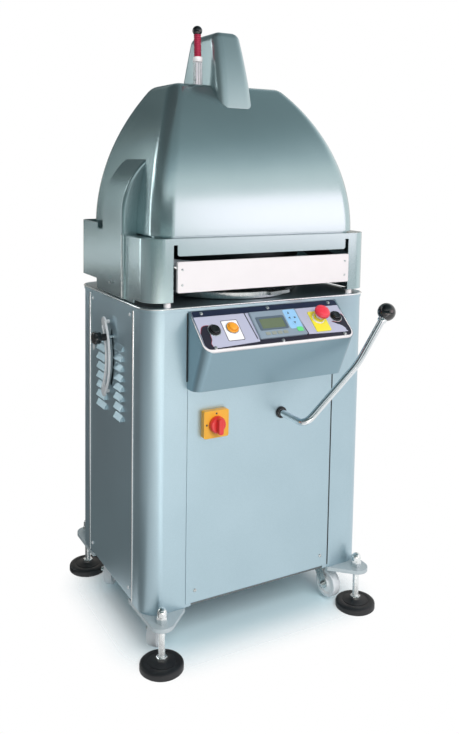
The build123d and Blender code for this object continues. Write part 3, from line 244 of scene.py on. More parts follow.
LEFT_TURNS = ((-168, "#646464"), (-145, "#686868"), (-126, "#848484"), (-89, "#bababa"), (-51, "#e0e0e0"),
              (-16, "#f4f4f4"))
SKY_TURNS = ((-180, "#6c7676"), (-75, "#6c7676"), (-30, "#ffffff"), (140, "#ffffff"), (180, "#6c7676"))
print("the cards at the left run from", LEFT_TURNS[0][1], "to", LEFT_TURNS[-1][1])


# %% Hang the grey cards
def mirrored_only(made):
    """Leaves a card to the reflections alone."""
    made.visible_camera = made.visible_diffuse = made.visible_shadow = made.visible_transmission = False


def card(name, turns, rows, finish, steps=24):
    """A bent card round the machine: turns in degrees from the front, rows of (radius, height) in metres."""
    angles = [radians(turns[0] + (turns[1] - turns[0]) * i / steps) for i in range(steps + 1)]
    corners = [(r * sin(a), -r * cos(a), z) for r, z in rows for a in angles]
    wide = steps + 1
    faces = [(j * wide + i, j * wide + i + 1, (j + 1) * wide + i + 1, (j + 1) * wide + i)
             for j in range(len(rows) - 1) for i in range(steps)]
    mirrored_only(stage_sheet(name, corners, faces, finish))


DOME_RADIUS, DOME_MIDDLE = 3.0, 1.0
DOME = [(DOME_RADIUS * cos(radians(e)), DOME_MIDDLE + DOME_RADIUS * sin(radians(e)))
        for e in (22, 30, 40, 50, 60, 70, 80, 89)]
CARDS = {
    # finish: (turns it spans, (radius, height) rows, tones by height, tones by turn if any, glow if any)
    "grey_card_above": (
        (-180, 180), DOME,
        ((2.1, "#ffffff"), (2.5, "#eef4f4"), (2.8, "#bccace"), (3.3, "#7e9296"), (4.0, "#5a6c6f")),
        SKY_TURNS),
    "grey_card_camera_side": (
        (-62, 5), [(2.8, 0.46), (2.8, 2.7)],
        ((0.46, "#5c7474"), (0.66, "#607878"), (0.95, "#98b2b2"), (1.25, "#4c6062"), (2.7, "#4c6062"))),
    "grey_card_left": (
        (-168, -62), [(2.6, 0.6), (2.6, 2.4)],
        ((0.6, "#e8ecec"), (0.7, "#e8ecec"), (0.79, "#a0a8a8"), (0.87, "#606868"), (1.2, "#748080"),
         (1.4, "#849090"), (1.7, "#6c7878"), (2.4, "#4c5858")),
        ((-168, "#ffffff"), (-112, "#ffffff"), (-95, "#f0f0f0"), (-75, "#dce4e4"), (-62, "#c0d0d0"))),
    "grey_card_rear_high": ((-230, -168), [(2.6, 1.5), (2.6, 2.4)], ((1.5, "#566264"), (2.4, "#4c585a"))),
    "grey_card_corner_front": ((4, 15), [(2.6, 0.46), (2.6, 0.82)], flat("#90a8a8")),
    "grey_card_front_low": (
        (12, 60), [(2.75, 0.42), (2.75, 0.72)],
        ((0.42, "#b4c8c8"), (0.5, "#90a8a8"), (0.72, "#90a8a8"))),
    "white_card_spine": ((-150, -124), [(2.55, 1.7), (2.55, 2.1)], flat("#f4ffff"), ANY_TURN, 1.9),
    "white_card_corner": ((-143, -137), [(2.5, 0.6), (2.5, 2.4)], flat("#ffffff"), ANY_TURN, 4.5),
    "grey_card_low": (
        (-168, -16), [(2.6, 0.0), (2.6, 0.6)],
        ((0.0, "#ffffff"), (0.25, "#d8d8d8"), (0.43, "#b0b0b0"), (0.6, "#848484")), LEFT_TURNS),
    "grey_card_floor": ((-168, -16), [(0.5, 0.004), (2.6, 0.004)], flat("#ffffff"), LEFT_TURNS),
    "grey_card_floor_rear": ((-215, -166), [(0.9, 0.005), (1.9, 0.005)], flat("#606464")),
    "grey_card_floor_left": ((-150, -70), [(0.42, 0.006), (1.15, 0.006)], flat("#6c7070")),
    "white_card_key": (
        (-60, 22), [(2.4, 0.1), (2.4, 0.37)], ((0.1, "#6c6662"), (0.25, "#fff4ec"), (0.37, "#fff4ec")),
        ((-60, "#606060"), (-45, "#b0b0b0"), (-18, "#ffffff"), (10, "#e0e0e0"), (22, "#b8b8b8")), 6.2),
    "grey_card_rear_left": ((-250, -168), [(2.6, 0.0), (2.6, 1.5)], flat("#d4cec8")),
}
for finish_name, (turns, rows, *tones) in CARDS.items():
    card(finish_name.partition("_")[2], turns, rows, card_finish(finish_name, *tones))
STREAK = [(-0.20, -3.0), (0.20, -3.0), (-0.16, -0.68), (-0.30, -0.68)]
STREAK_HEIGHT = 0.003
mirrored_only(stage_sheet("card_streak", [(x, y, STREAK_HEIGHT) for x, y in STREAK], [(0, 1, 2, 3)],
                          card_finish("white_card_streak", flat("#ffffff"), ANY_TURN, 2.6)))
print("cards hung:", len(CARDS), "round the machine and one on the floor")

# %% [markdown]
# ## Finishes
# Each finish starts from what the real material is. The cabinet, head and hood are sheet steel with a
# silver stove enamel: aluminium flakes in a clear film. The flakes make it reflect like a satin metal,
# the film adds a thin gloss, and the sprayed surface keeps a faint orange-peel ripple a few millimetres
# wide. A bevel lookup softens the folded edges, so they catch a thin line of light.

# %% Layers of a finish
def join_layers(tree, tones, gloss, relief, fold_mm, **shader):
    """Joins the layers of a finish in one shader, and softens the folded edges by a bevel lookup.

    tones: share, code and darker code. gloss: value, its low and high, roughness and its swing.
    relief: height, strength and depth in millimetres.
    """
    share, code, dark_code = tones
    value, low, high, rough, swing = gloss
    height, strength, depth_mm = relief
    tint = add(tree, "Mix", {0: share, 6: linear(dark_code), 7: linear(code)}, data_type="RGBA")
    matt = add(tree, "MapRange", {"Value": value, "From Min": low, "From Max": high,
                                  "To Min": rough - swing, "To Max": rough + swing})
    fold = add(tree, "Bevel", {"Radius": fold_mm * MM}, samples=4)
    bump = add(tree, "Bump", {"Height": height, "Strength": strength, "Distance": depth_mm * MM,
                              "Normal": fold.outputs[0]})
    skin = add(tree, "BsdfPrincipled", {"Base Color": tint.outputs[2], "Roughness": matt.outputs[0],
                                        "Normal": bump.outputs[0], **shader})
    add(tree, "OutputMaterial", {"Surface": skin.outputs[0]})


print("a finish has tone, gloss and relief")

# %% Silver stove enamel
# Flakes are about 0.05 mm. They are drawn 2 mm wide, or they would vanish in the render.
FLAKE_MM, CLOUD_MM, PEEL_MM = 2, 160, 3
PEEL_STRENGTH, PEEL_DEPTH_MM, FOLD_MM = 0.02, 0.02, 1.5
ENAMEL_SWING = 0.05


def silver_enamel(name, code, dark_code, rough, metal=0.9):
    """Stove enamel with aluminium flakes: satin metal under a thin clear film."""
    finish, tree = blank(name)
    where = add(tree, "TexCoord").outputs["Object"]
    flakes = add(tree, "TexNoise", {"Vector": where, "Scale": 1 / (FLAKE_MM * MM), "Detail": 1.0})
    clouds = add(tree, "TexNoise", {"Vector": where, "Scale": 1 / (CLOUD_MM * MM), "Detail": 2.0})
    peel = add(tree, "TexNoise", {"Vector": where, "Scale": 1 / (PEEL_MM * MM), "Detail": 1.0})
    mottle = add(tree, "Math", {0: flakes.outputs["Fac"], 1: clouds.outputs["Fac"]}, operation="ADD")
    share = add(tree, "MapRange", {"Value": mottle.outputs[0], "From Min": 0.4, "From Max": 1.6})
    join_layers(tree, (share.outputs[0], code, dark_code),
                (clouds.outputs["Fac"], 0.0, 1.0, rough, ENAMEL_SWING),
                (peel.outputs["Fac"], PEEL_STRENGTH, PEEL_DEPTH_MM), FOLD_MM,
                **{"Metallic": metal, "Coat Weight": 0.15, "Coat Roughness": 0.15})
    return finish


# The cabinet's coat is soft and bluish, so the panels show broad, slow changes of tone.
cabinet_enamel = silver_enamel("silver_stove_enamel", "#b6cdd7", "#a9c1cb", 0.38)
# The hood is sprayed smoother: its arch carries clear bands of light.
hood_enamel = silver_enamel("satin_silver_stove_enamel", "#b8cccf", "#acc0c3", 0.23)
spine_enamel = silver_enamel("pale_silver_stove_enamel", "#bed0d3", "#b2c4c7", 0.32)
# The console wears a darker copy of the cabinet's enamel: painted shade for the darker reflection on its
# downward-tilted face and sides.
console_enamel = silver_enamel("shaded_silver_stove_enamel", "#90abb7", "#88a3af", 0.40)
# The foot brackets have more film and fewer flakes, which looks chalky.
bracket_enamel = silver_enamel("neutral_silver_enamel", "#c6d2d6", "#bcc8cc", 0.55, metal=0.4)
print("made", cabinet_enamel.name, hood_enamel.name, "and", console_enamel.name)

# %% [markdown]
# ## Bare and plated steel
# Fasteners, forks and studs are zinc plated: a pale metal with a cloudy, slightly uneven gloss. The levers
# are chrome plated bar, far smoother and cooler. Inner sheet parts are plain pickled steel. The press tools
# are drawn nearly black, a painted shade of the dark inside of the head. All are metals, so they keep the
# default index of refraction and take their look from colour and roughness.

# %% Metals
GRAIN_DEPTH_MM, METAL_EDGE_MM = 0.05, 0.6


def bare_metal(name, code, dark_code, rough, swing, grain_mm, stretch=(1, 1, 1), bump=0.05):
    """A bare or plated metal with cloudy gloss; stretch draws the grain out along an axis."""
    finish, tree = blank(name)
    where = add(tree, "TexCoord").outputs["Object"]
    drawn = add(tree, "Mapping", {"Vector": where, "Scale": stretch})
    clouds = add(tree, "TexNoise", {"Vector": drawn.outputs[0], "Scale": 1 / (grain_mm * MM), "Detail": 3.0})
    grain = clouds.outputs["Fac"]
    join_layers(tree, (grain, code, dark_code), (grain, 0.3, 0.7, rough, swing),
                (grain, bump, GRAIN_DEPTH_MM), METAL_EDGE_MM, Metallic=1.0)
    return finish


# Zinc plating, passivated: pale and a little cloudy. On the studs it is bright, and the same bright finish on
# the hems and rim bead is a painted highlight.
zinc = bare_metal("zinc_plated_steel", "#dde2e2", "#c3cacb", 0.28, 0.06, 6.0)
bright_zinc = bare_metal("bright_zinc_and_painted_highlight", "#f0f3f3", "#e2e7e8", 0.2, 0.03, 8.0, bump=0.0)
# Chrome on drawn bar: almost a mirror, with hard dark and light lines along it.
chrome = bare_metal("chrome_plated_bar", "#e6eaec", "#dfe4e7", 0.08, 0.02, 12.0, bump=0.0)
# Pickled sheet is dull and grey. The press tools are nearly black: painted shade of the head's dark inside.
pickled = bare_metal("pickled_sheet_steel", "#7d8588", "#666d70", 0.45, 0.06, 9.0)
tool_steel = bare_metal("nearly_black_painted_shade_steel", "#3c4244", "#2e3335", 0.42, 0.05, 6.0)
# Brushing, turning and grinding leave fine lines that stretch the highlights across them.
brushed = bare_metal("brushed_stainless_steel", "#c9ced0", "#b3babd", 0.24, 0.05, 1.5, (1, 1, 0.05), 0.15)
cast_aluminium = bare_metal("machined_cast_aluminium", "#c4c9ca", "#aeb4b6", 0.33, 0.05, 2.0, (1, 1, 0.1),
                            0.2)
blade_steel = bare_metal("ground_knife_steel", "#c6cbcd", "#a7adb0", 0.2, 0.04, 1.5, (0.05, 0.05, 1), 0.1)
print("metals made, from", zinc.name, "to", blade_steel.name)

# %% [markdown]
# ## Plastics, rubber, film and paint
# Moulded plastics are nonmetals with an index near 1.5. What tells them apart is gloss and the fine spark
# texture of the mould: the white guard flap is satin polyethylene, the switch parts are glossier
# polycarbonate, the ball knobs are polished phenolic, and the foot pads are matt rubber with a dusty bloom.
# The console wears a polyester film, printed from behind, so its colours lie under a fine satin texture.

# %% Moulded plastics, rubber and paint
TONE_MM = 45
SPARK_DEPTH_MM, MOULD_EDGE_MM, MOULD_SWING = 0.1, 0.8, 0.04


def moulded(name, code, dark_code, rough, ior, grain_mm, bump, coat=0.0):
    """A moulded plastic, film or rubber with a textured surface and a slight change of tone."""
    finish, tree = blank(name)
    where = add(tree, "TexCoord").outputs["Object"]
    sparks = add(tree, "TexNoise", {"Vector": where, "Scale": 1 / (grain_mm * MM), "Detail": 2.0})
    tone = add(tree, "TexNoise", {"Vector": where, "Scale": 1 / (TONE_MM * MM), "Detail": 2.0})
    spark = sparks.outputs["Fac"]
    join_layers(tree, (tone.outputs["Fac"], code, dark_code), (spark, 0.3, 0.7, rough, MOULD_SWING),
                (spark, bump, SPARK_DEPTH_MM), MOULD_EDGE_MM, **{"IOR": ior, "Coat Weight": coat})
    return finish


# Nitrile rubber comes matt from the mould, with a dusty grain.
pad_rubber = moulded("moulded_nitrile_rubber", "#1b1d21", "#141518", 0.5, 1.52, 1.2, 0.25)
# The wheels: satin white nylon with a duller tread of polyurethane.
wheel_nylon = moulded("moulded_white_nylon", "#f8fafb", "#f2f5f6", 0.35, 1.53, 1.0, 0.1)
tyre_grey = moulded("pale_tread_polyurethane", "#eef2f4", "#e4eaed", 0.5, 1.52, 1.0, 0.15)
# ABS takes the texture of its mould, so it has a wide, soft highlight.
housing_abs = moulded("grey_abs", "#8fa0ad", "#8394a2", 0.45, 1.54, 0.8, 0.15)
estop_yellow = moulded("lemon_abs_plate", "#f6f04a", "#eee03a", 0.35, 1.54, 0.8, 0.08)
display_frame = moulded("slate_display_frame", "#5b6b78", "#52626f", 0.4, 1.54, 0.8, 0.08)
# Polycarbonate is glossier. The red parts have a sharp highlight over a deep colour.
switch_yellow = moulded("yellow_polycarbonate", "#f6b93a", "#edac28", 0.35, 1.58, 0.8, 0.08)
knob_red = moulded("red_polycarbonate", "#f0364a", "#e22c40", 0.3, 1.58, 0.8, 0.05, 0.3)
switch_red = moulded("orange_red_polycarbonate", "#ee3030", "#d62424", 0.32, 1.58, 0.8, 0.05, 0.3)
# Soft vinyl looks waxy.
grip_crimson = moulded("crimson_vinyl_grip", "#b01f45", "#9a1639", 0.4, 1.54, 0.9, 0.1)
# Polished phenolic mirrors the soft boxes as small bright spots, and satin nylon only glimmers.
knob_black = moulded("polished_black_phenolic", "#101114", "#0b0c0e", 0.14, 1.6, 1.5, 0.02, 0.5)
satin_black = moulded("satin_black_nylon", "#17181c", "#101114", 0.4, 1.53, 0.9, 0.12)
# Polyethylene is milky and satin, so the guard flap is an even white. The same white on the console's lip bead
# is a painted highlight.
flap_white = moulded("satin_white_polyethylene_and_lip_highlight", "#f0ecec", "#eae6e6", 0.38, 1.51, 1.5, 0.05)
# The chrome weight guide and the side-panel screws are drawn glossy white: a painted highlight for their bright
# glints. Machine enamel keeps the brush's unevenness.
rod_white = moulded("white_painted_glint", "#f2f4f5", "#e8ebed", 0.2, 1.5, 1.0, 0.0, 0.6)
machine_grey = moulded("grey_machine_enamel", "#6f787b", "#646c6f", 0.42, 1.5, 2.5, 0.1)
# Acrylic and display glass are smooth and reflect clearly.
lamp_amber = moulded("amber_acrylic_lens", "#f8ab30", "#f29c20", 0.18, 1.49, 1.0, 0.02, 0.4)
display_glass = moulded("olive_display_glass", "#6d7a62", "#667358", 0.2, 1.52, 1.5, 0.0)
print("plastics, rubber and paint made, from", pad_rubber.name, "to", display_glass.name)


# %% Printed film
def film(name, code, dark_code):
    """Polyester film printed from behind: satin, with a fine texture."""
    return moulded(name, code, dark_code, 0.42, 1.6, 0.6, 0.05)


film_lilac = film("lilac_polyester_film", "#bcbed2", "#b4b7cc")
film_navy = film("navy_printed_film", "#14213f", "#101b36")
film_plum = film("plum_printed_film", "#262233", "#1e1b2a")
film_crimson = film("crimson_printed_film", "#a8203c", "#9c1a34")
film_white = film("white_printed_film", "#fbfbfc", "#f4f4f6")
key_blue = film("pale_blue_key_film", "#9ccdf0", "#8fc2ea")
key_green = film("green_key_film", "#6fe08a", "#62d67e")
key_khaki = film("khaki_key_film", "#9aa096", "#8f958b")
print("film colours made:", len(bpy.data.materials), "materials in all")

# %% [markdown]
# ## Finishes on the CAD nodes
# Most nodes already have the right shape, so they only need a finish. A node's object keeps one material
# slot, and we put the new finish there. Nodes whose real surface has more form than CAD gives them, such
# as knobs and feet, get a finish too, and are replaced by a detailed piece further on.

# %% Assign finishes
CORNERS = ("front_left", "front_right", "rear_left", "rear_right")
FINISHES = {
    cabinet_enamel: ["corner_posts", "front_panel", "rear_panel", "left_side_panel", "right_side_panel",
                     "cabinet_top"],
    bracket_enamel: ["foot_brackets"],
    # The console's darker enamel is painted shade.
    console_enamel: ["control_box"],
    hood_enamel: ["hood", "side_fairing", "head_surround"],
    spine_enamel: ["spine_cover"],
    bright_zinc: ["foot_dome_nuts", *[f"levelling_foot_{c}" for c in CORNERS]],
    zinc: ["caster_plates", "panel_screws", "head_hinge_brackets", "lever_bush",
           *[f"caster_fork_{c}" for c in CORNERS]],
    chrome: ["rounding_lever", "weight_lever"],
    # The chrome weight guide is drawn white: a painted highlight.
    rod_white: ["weight_guide"],
    brushed: ["orbital_table", "moulding_plate", "top_lever"],
    # The press tools' nearly black finish is painted shade of the head's dark inside.
    tool_steel: ["dividing_ring", "press_plate", "flap_arms"],
    pickled: ["base_tray"],
    cast_aluminium: ["eccentric_crank"],
    blade_steel: ["knife_set"],
    wheel_nylon: [f"caster_wheel_{c}" for c in CORNERS],
    housing_abs: ["display_housing"],
    film_lilac: ["control_fascia"],
    switch_yellow: ["main_switch_plate"],
    estop_yellow: ["estop_plate"],
    knob_red: ["estop_mushroom"],
    grip_crimson: ["top_lever_grip"],
    switch_red: ["main_switch_knob"],
    knob_black: ["lever_ball", "weight_knob", "two_hand_button_left", "two_hand_button_right"],
    satin_black: ["button_bezels", "cable_gland"],
    flap_white: ["guard_flap", "head_bumpers"],
    lamp_amber: ["lamp_button"],
    machine_grey: ["drive_motor", "hydraulic_unit", "press_cylinder"],
}
for finish, names in FINISHES.items():
    for name in names:
        slots = nodes[name].data.materials
        slots.clear()
        slots.append(finish)
bare = sorted(set(nodes) - {name for names in FINISHES.values() for name in names})
print("finished nodes:", len(nodes) - len(bare), "left over:", bare)

# %% [markdown]
# ## Tools for the small pieces
# Nearly every small piece on this machine is either turned on a lathe or cut from sheet. So two helpers
# carry the rest of the lesson: one spins a profile round an axis, with an optional change of radius for
# hexagons and lobes, and one raises a flat outline into a sheet. Both work in millimetres in a local frame
# that stands on a face of the machine: u runs across the face, v up it and h out of it.

# %% Frames on the faces
# Directions, and where the cabinet's outer faces lie in millimetres from the press axis.
UP, FRONT, REAR, LEFT = (0, 0, 1), (0, -1, 0), (0, 1, 0), (-1, 0, 0)
FRONT_FACE, SIDE_FACE = -232, 317


def stand(origin, out, across=(1, 0, 0)):
    """A frame in millimetres on a face: origin from the press axis, out of the face, and across it."""
    out, across = Vector(out).normalized(), Vector(across)
    across = (across - out * across.dot(out)).normalized()
    turn = Matrix((across, out.cross(across), out)).transposed().to_4x4()
    return Matrix.Translation((PRESS_AXIS + Vector(origin)) * MM) @ turn @ Matrix.Scale(MM, 4)


print("front face", FRONT_FACE, "mm and side faces", SIDE_FACE, "mm from the press axis")

# %% Pieces that ride on a body
WELD_MM = 0.001


def dress(name, corners, faces, finish, body, slot, sharp=38, edge=0.0):
    """A mesh piece that rides on a body; edge rounds its sharp corners by that many millimetres."""
    mesh = bpy.data.meshes.new(name)
    mesh.from_pydata(corners, [], faces)
    shell = bmesh.new()
    shell.from_mesh(mesh)
    bmesh.ops.remove_doubles(shell, verts=shell.verts, dist=WELD_MM * MM)
    bmesh.ops.recalc_face_normals(shell, faces=shell.faces)
    shell.to_mesh(mesh)
    shell.free()
    mesh.materials.append(finish)
    mesh.shade_smooth()
    mesh.set_sharp_from_angle(angle=radians(sharp))
    piece = bpy.data.objects.new(name, mesh)
    scene.collection.objects.link(piece)
    if edge:
        rounding = piece.modifiers.new("rounded_edges", "BEVEL")
        rounding.width, rounding.segments, rounding.limit_method = edge * MM, 3, "ANGLE"
        rounding.angle_limit, rounding.harden_normals = radians(30), True
    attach(piece, body)
    return piece


print("points closer than", WELD_MM, "mm are welded")


# %% Lathe
def turned(name, face, profile, finish, body, slot, shape=None, steps=48, **looks):
    """A profile of (radius, height) spun round the frame's h axis; shape changes the radius by angle.

    A profile that keeps off the axis at both ends is closed to a ring.
    """
    if profile[0][0] and profile[-1][0]:
        profile = profile + profile[:1]
    corners, rings, faces = [], [], []
    angles = [2 * pi * i / steps for i in range(steps)]
    for r, h in profile:
        first = len(corners)
        if r == 0:
            corners.append(face @ Vector((0, 0, h)))
        else:
            wave = [shape(a) if shape else 1.0 for a in angles]
            corners += [face @ Vector((r * w * cos(a), r * w * sin(a), h)) for a, w in zip(angles, wave)]
        rings.append(list(range(first, len(corners))))
    for low, high in zip(rings, rings[1:]):
        for i in range(steps):
            j = (i + 1) % steps
            loop = [low[i % len(low)], low[j % len(low)], high[j % len(high)], high[i % len(high)]]
            faces.append(list(dict.fromkeys(loop)))
    return dress(name, corners, faces, finish, body, slot, **looks)


print("lathe ready")


# %% Sheets and frames
def sheet(name, face, outline, low, high, finish, body, slot, **looks):
    """A flat outline of (u, v) points raised from one height to another."""
    n = len(outline)
    corners = [face @ Vector((u, v, h)) for h in (low, high) for u, v in outline]
    faces = [list(range(n)), list(range(n, 2 * n))]
    faces += [(i, (i + 1) % n, n + (i + 1) % n, n + i) for i in range(n)]
    return dress(name, corners, faces, finish, body, slot, **looks)


def surround(name, face, outer, inner, low, high, finish, body, slot, **looks):
    """A flat frame between two outlines with the same number of points."""
    n = len(outer)
    loops = [(outer, low), (outer, high), (inner, high), (inner, low)]
    corners = [face @ Vector((u, v, h)) for line, h in loops for u, v in line]
    faces = [(k * n + i, k * n + (i + 1) % n, (k + 1) % 4 * n + (i + 1) % n, (k + 1) % 4 * n + i)
             for k in range(4) for i in range(n)]
    return dress(name, corners, faces, finish, body, slot, **looks)


print("sheets and frames ready")


# %% Beads and outlines
def rolled(name, face, path, radius, finish, body, slot, height=0.0, steps=10, **looks):
    """A round bead along an open line of (u, v) points; radius is one value, or one for each point."""
    corners, faces = [], []
    sizes = radius if isinstance(radius, list) else [radius] * len(path)
    for i, (u, v) in enumerate(path):
        before, after = path[max(i - 1, 0)], path[min(i + 1, len(path) - 1)]
        along = Vector((after[0] - before[0], after[1] - before[1])).normalized()
        for k in range(steps):
            a = 2 * pi * k / steps
            side, rise = sizes[i] * cos(a), sizes[i] * sin(a)
            corners.append(face @ Vector((u - along.y * side, v + along.x * side, height + rise)))
    for i in range(len(path) - 1):
        for k in range(steps):
            j = (k + 1) % steps
            faces.append((i * steps + k, i * steps + j, (i + 1) * steps + j, (i + 1) * steps + k))
    faces += [list(range(steps)), list(range(len(corners) - steps, len(corners)))]
    return dress(name, corners, faces, finish, body, slot, **looks)


def rounded(width, height, radius, centre=(0, 0), steps=5):
    """A rectangle with round corners, as (u, v) points."""
    points = []
    for k, (side_u, side_v) in enumerate(((1, 1), (-1, 1), (-1, -1), (1, -1))):
        for i in range(steps + 1):
            a = (k + i / steps) * pi / 2
            points.append((centre[0] + side_u * (width / 2 - radius) + radius * cos(a),
                           centre[1] + side_v * (height / 2 - radius) + radius * sin(a)))
    return points


def flowing(points, steps=5):
    """An open line drawn smoothly through the given (u, v) points."""
    ends = [points[0], *points, points[-1]]
    line = []
    for a, b, c, d in zip(ends, ends[1:], ends[2:], ends[3:]):
        for i in range(steps):
            t = i / steps
            line.append(tuple(0.5 * (2 * q + (r - p) * t + (2 * p - 5 * q + 4 * r - s) * t ** 2
                                     + (3 * q - p - 3 * r + s) * t ** 3) for p, q, r, s in zip(a, b, c, d)))
    return line + [points[-1]]


print("a rounded square has", len(rounded(10, 10, 2)), "points")

# %% [markdown]
# ## Console film
# The console's sloped face is covered by a printed film: a pale lilac field, a navy band along the top, a
# plum band along the foot that flows up round the end buttons, and thin dividing lines. A texture could
# draw these, but the machine's film has crisp edges, so each printed area is a thin sheet of its own,
# a quarter of a millimetre proud, cut to the outline that the photograph shows.

# %% Printed bands
CONSOLE = stand((0, -277, 799.5), (0, -0.6597, 0.7515))
FILM = (2.0, 2.25)
HALF_U, HALF_V = 207.0, 57.0
BAND_V, DIVIDER_V, CHAMFER, CORNER = 40, -38, 3, 20
LINE_RADIUS, LINE_RISE, LINE_HALF = 0.9, 1.7, 1.3
LABEL_PLACE = (-121, -6)
LEFT_LINE_START = 16


def printed(name, outline, finish):
    """A printed area of the film."""
    sheet(name, CONSOLE, outline, *FILM, finish, "cabinet", "fascia_sheet")


head_band = [(-HALF_U, BAND_V), (HALF_U, BAND_V), (HALF_U, HALF_V - CHAMFER), (HALF_U - CHAMFER, HALF_V),
             (CHAMFER - HALF_U, HALF_V), (-HALF_U, HALF_V - CHAMFER)]
printed("film_head_band", head_band, film_navy)
left_corner = [(-HALF_U + CORNER - CORNER * cos(a), -HALF_V + CORNER - CORNER * sin(a))
               for a in [pi / 2 * i / 6 for i in range(7)]]
right_corner = [(-u, v) for u, v in reversed(left_corner)]
right_swoosh = flowing([(206.5, 6), (202, 12), (198.5, 8), (197, -3), (190, -11), (179, -12), (168, -9),
                        (163, -9)])
right_foot = flowing([(163, -9), (173, -16), (186, -23), (193, -31), (194, -39), (187, -44), (79, -40)])
display_gap = [(79, -37), (-62, -37), (-62, -45)]
left_foot = flowing([(-66, -46), (-150, -50), (-178, -51), (-187, -46), (-189, -37), (-184, -27), (-183, -16),
                     (-181, -6), (-176, 5), (-178, 13), (-188, 14), (-198, 9), (-206, -8)])
foot_band = left_corner + right_corner + right_swoosh[:-1] + right_foot + display_gap + left_foot
printed("film_foot_band", foot_band, film_plum)
for name, path in (("right", right_swoosh), ("left", left_foot[LEFT_LINE_START:])):
    rolled(f"film_line_{name}", CONSOLE, path, LINE_RADIUS, film_crimson, "cabinet", "fascia_sheet",
           LINE_RISE, 6)
for name, top_u, low_u in (("left", -71, -66), ("right", 71, 79)):
    printed(f"film_divider_{name}", [(top_u - LINE_HALF, BAND_V), (low_u - LINE_HALF, DIVIDER_V),
                                     (low_u + LINE_HALF, DIVIDER_V), (top_u + LINE_HALF, BAND_V)], film_plum)
printed("lamp_label", rounded(43, 58, 3, LABEL_PLACE), film_white)
surround("lamp_label_edge", CONSOLE, rounded(45, 60, 4, LABEL_PLACE), rounded(42, 57, 3, LABEL_PLACE),
         FILM[0], FILM[1] + 0.1, film_plum, "cabinet", "fascia_sheet")
print("film: head band, foot band with", len(foot_band), "points, dividers and lamp label")

# %% [markdown]
# ## Display
# The operator panel is a moulded grey box with a membrane front: an olive liquid-crystal window set in a
# slate frame, a row of soft keys under it, pale blue arrow keys and a green key at its right. The keys are
# embossed, so each is a low rounded pad with a soft edge. The arrows are printed triangles.

# %% Display window and keys
HOUSING_TOP = 8.0
SOFT_KEYS, SOFT_KEY_START, SOFT_KEY_STEP = 4, -36, 16.5
# Arrow keys: place on the film, and which way the arrow points in degrees.
ARROWS = {"up": (45, 24, 90), "left": (42, 9, 180), "right": (58, 9, 0), "down": (51, -6, -90)}
ARROW_SIZE = 4


def membrane(name, outline, low, high, finish, **looks):
    """A layer of the display's front, between two heights above its housing."""
    sheet(name, CONSOLE, outline, HOUSING_TOP + low, HOUSING_TOP + high, finish, "cabinet",
          "display_plastic", **looks)


surround("display_frame", CONSOLE, rounded(80, 40, 4, (-12, 0)), rounded(66, 29, 2, (-11, -1)), HOUSING_TOP,
         HOUSING_TOP + 1.2, display_frame, "cabinet", "display_plastic", edge=0.5)
membrane("display_window", rounded(68, 31, 2, (-11, -1)), 0, 0.5, display_glass)
membrane("display_key_field", rounded(36, 58, 5, (50, 6)), 0, 0.3, key_blue)
for i in range(SOFT_KEYS):
    place = (SOFT_KEY_START + SOFT_KEY_STEP * i, -30)
    membrane(f"soft_key_{i + 1}", rounded(13, 9, 2, place), 0, 1.0, key_khaki, edge=0.4)
for name, (u, v, turn) in ARROWS.items():
    membrane(f"arrow_key_{name}", rounded(13, 11, 2.5, (u, v)), 0.3, 1.2, key_blue, edge=0.4)
    points = [radians(turn + a) for a in (0, 130, 230)]
    tip = [(u + ARROW_SIZE * cos(a), v + ARROW_SIZE * sin(a)) for a in points]
    membrane(f"arrow_mark_{name}", tip, 1.2, 1.35, film_navy)
membrane("enter_key", rounded(17, 13, 3, (57, -26)), 0.2, 1.4, key_green, edge=0.5)
print("display: window, frame and", SOFT_KEYS + len(ARROWS) + 1, "keys")

# %% [markdown]
# ## Push buttons and emergency stop
# The two outer buttons start the press and must be held together, so they are flat black plungers that a
# thumb can rest on, each in a round bezel. The lamp button glows amber. The emergency stop is a red
# mushroom. All are turned parts: a dished top, a rounded rim and a stepped bezel catch the light where a
# plain cylinder would look flat. The plungers ride on their own bodies, the bezels on the cabinet.

# %% Buttons and bezels
DISHED = [(0, -14), (11, -14), (11, 9.6), (10.4, 10.6), (9.3, 11.0), (7, 10.7), (3.5, 10.4), (0, 10.3)]
DOMED = [(0, -14), (11, -14), (11, 8.6), (10.3, 10.2), (8.5, 11.4), (5, 12.3), (0, 12.7)]
BEZEL = [(11.4, 2), (15, 2), (15, 4.6), (14.5, 6.2), (13.4, 7), (12.3, 7), (11.6, 6.4), (11.4, 5.4)]
SEAT = [(15, 2), (17, 2), (17, 2.8), (16.4, 3.2), (15, 3.2)]
BUTTONS = {
    # node: (place on the film, body, profile, finish, bezel finish)
    "two_hand_button_left": ((-168, -1.5), "button_left", DISHED, knob_black, satin_black),
    "two_hand_button_right": ((183, 4.5), "button_right", DISHED, knob_black, satin_black),
    "lamp_button": ((-119, 0.5), "button_lamp", DOMED, lamp_amber, lamp_amber),
}
MUSHROOM = [(0, -14), (8, -14), (8, 24.5), (15, 25), (18.6, 25.6), (19.8, 27), (20, 29.5), (19.6, 32.5),
            (18, 35.5), (15, 38), (11, 39.4), (6, 40), (0, 40)]
COLLAR = [(14, 4), (16.5, 4), (16.5, 5.4), (15.6, 6.6), (14, 7)]
# The neck ends half a millimetre under the mushroom when that is pressed down.
NECK = [(8.5, 14), (11.4, 14), (11.4, 17.8), (10.6, 18.8), (8.5, 19)]


def on_console(u, v):
    """The console frame moved to a place on the film."""
    return CONSOLE @ Matrix.Translation((u, v, 0))


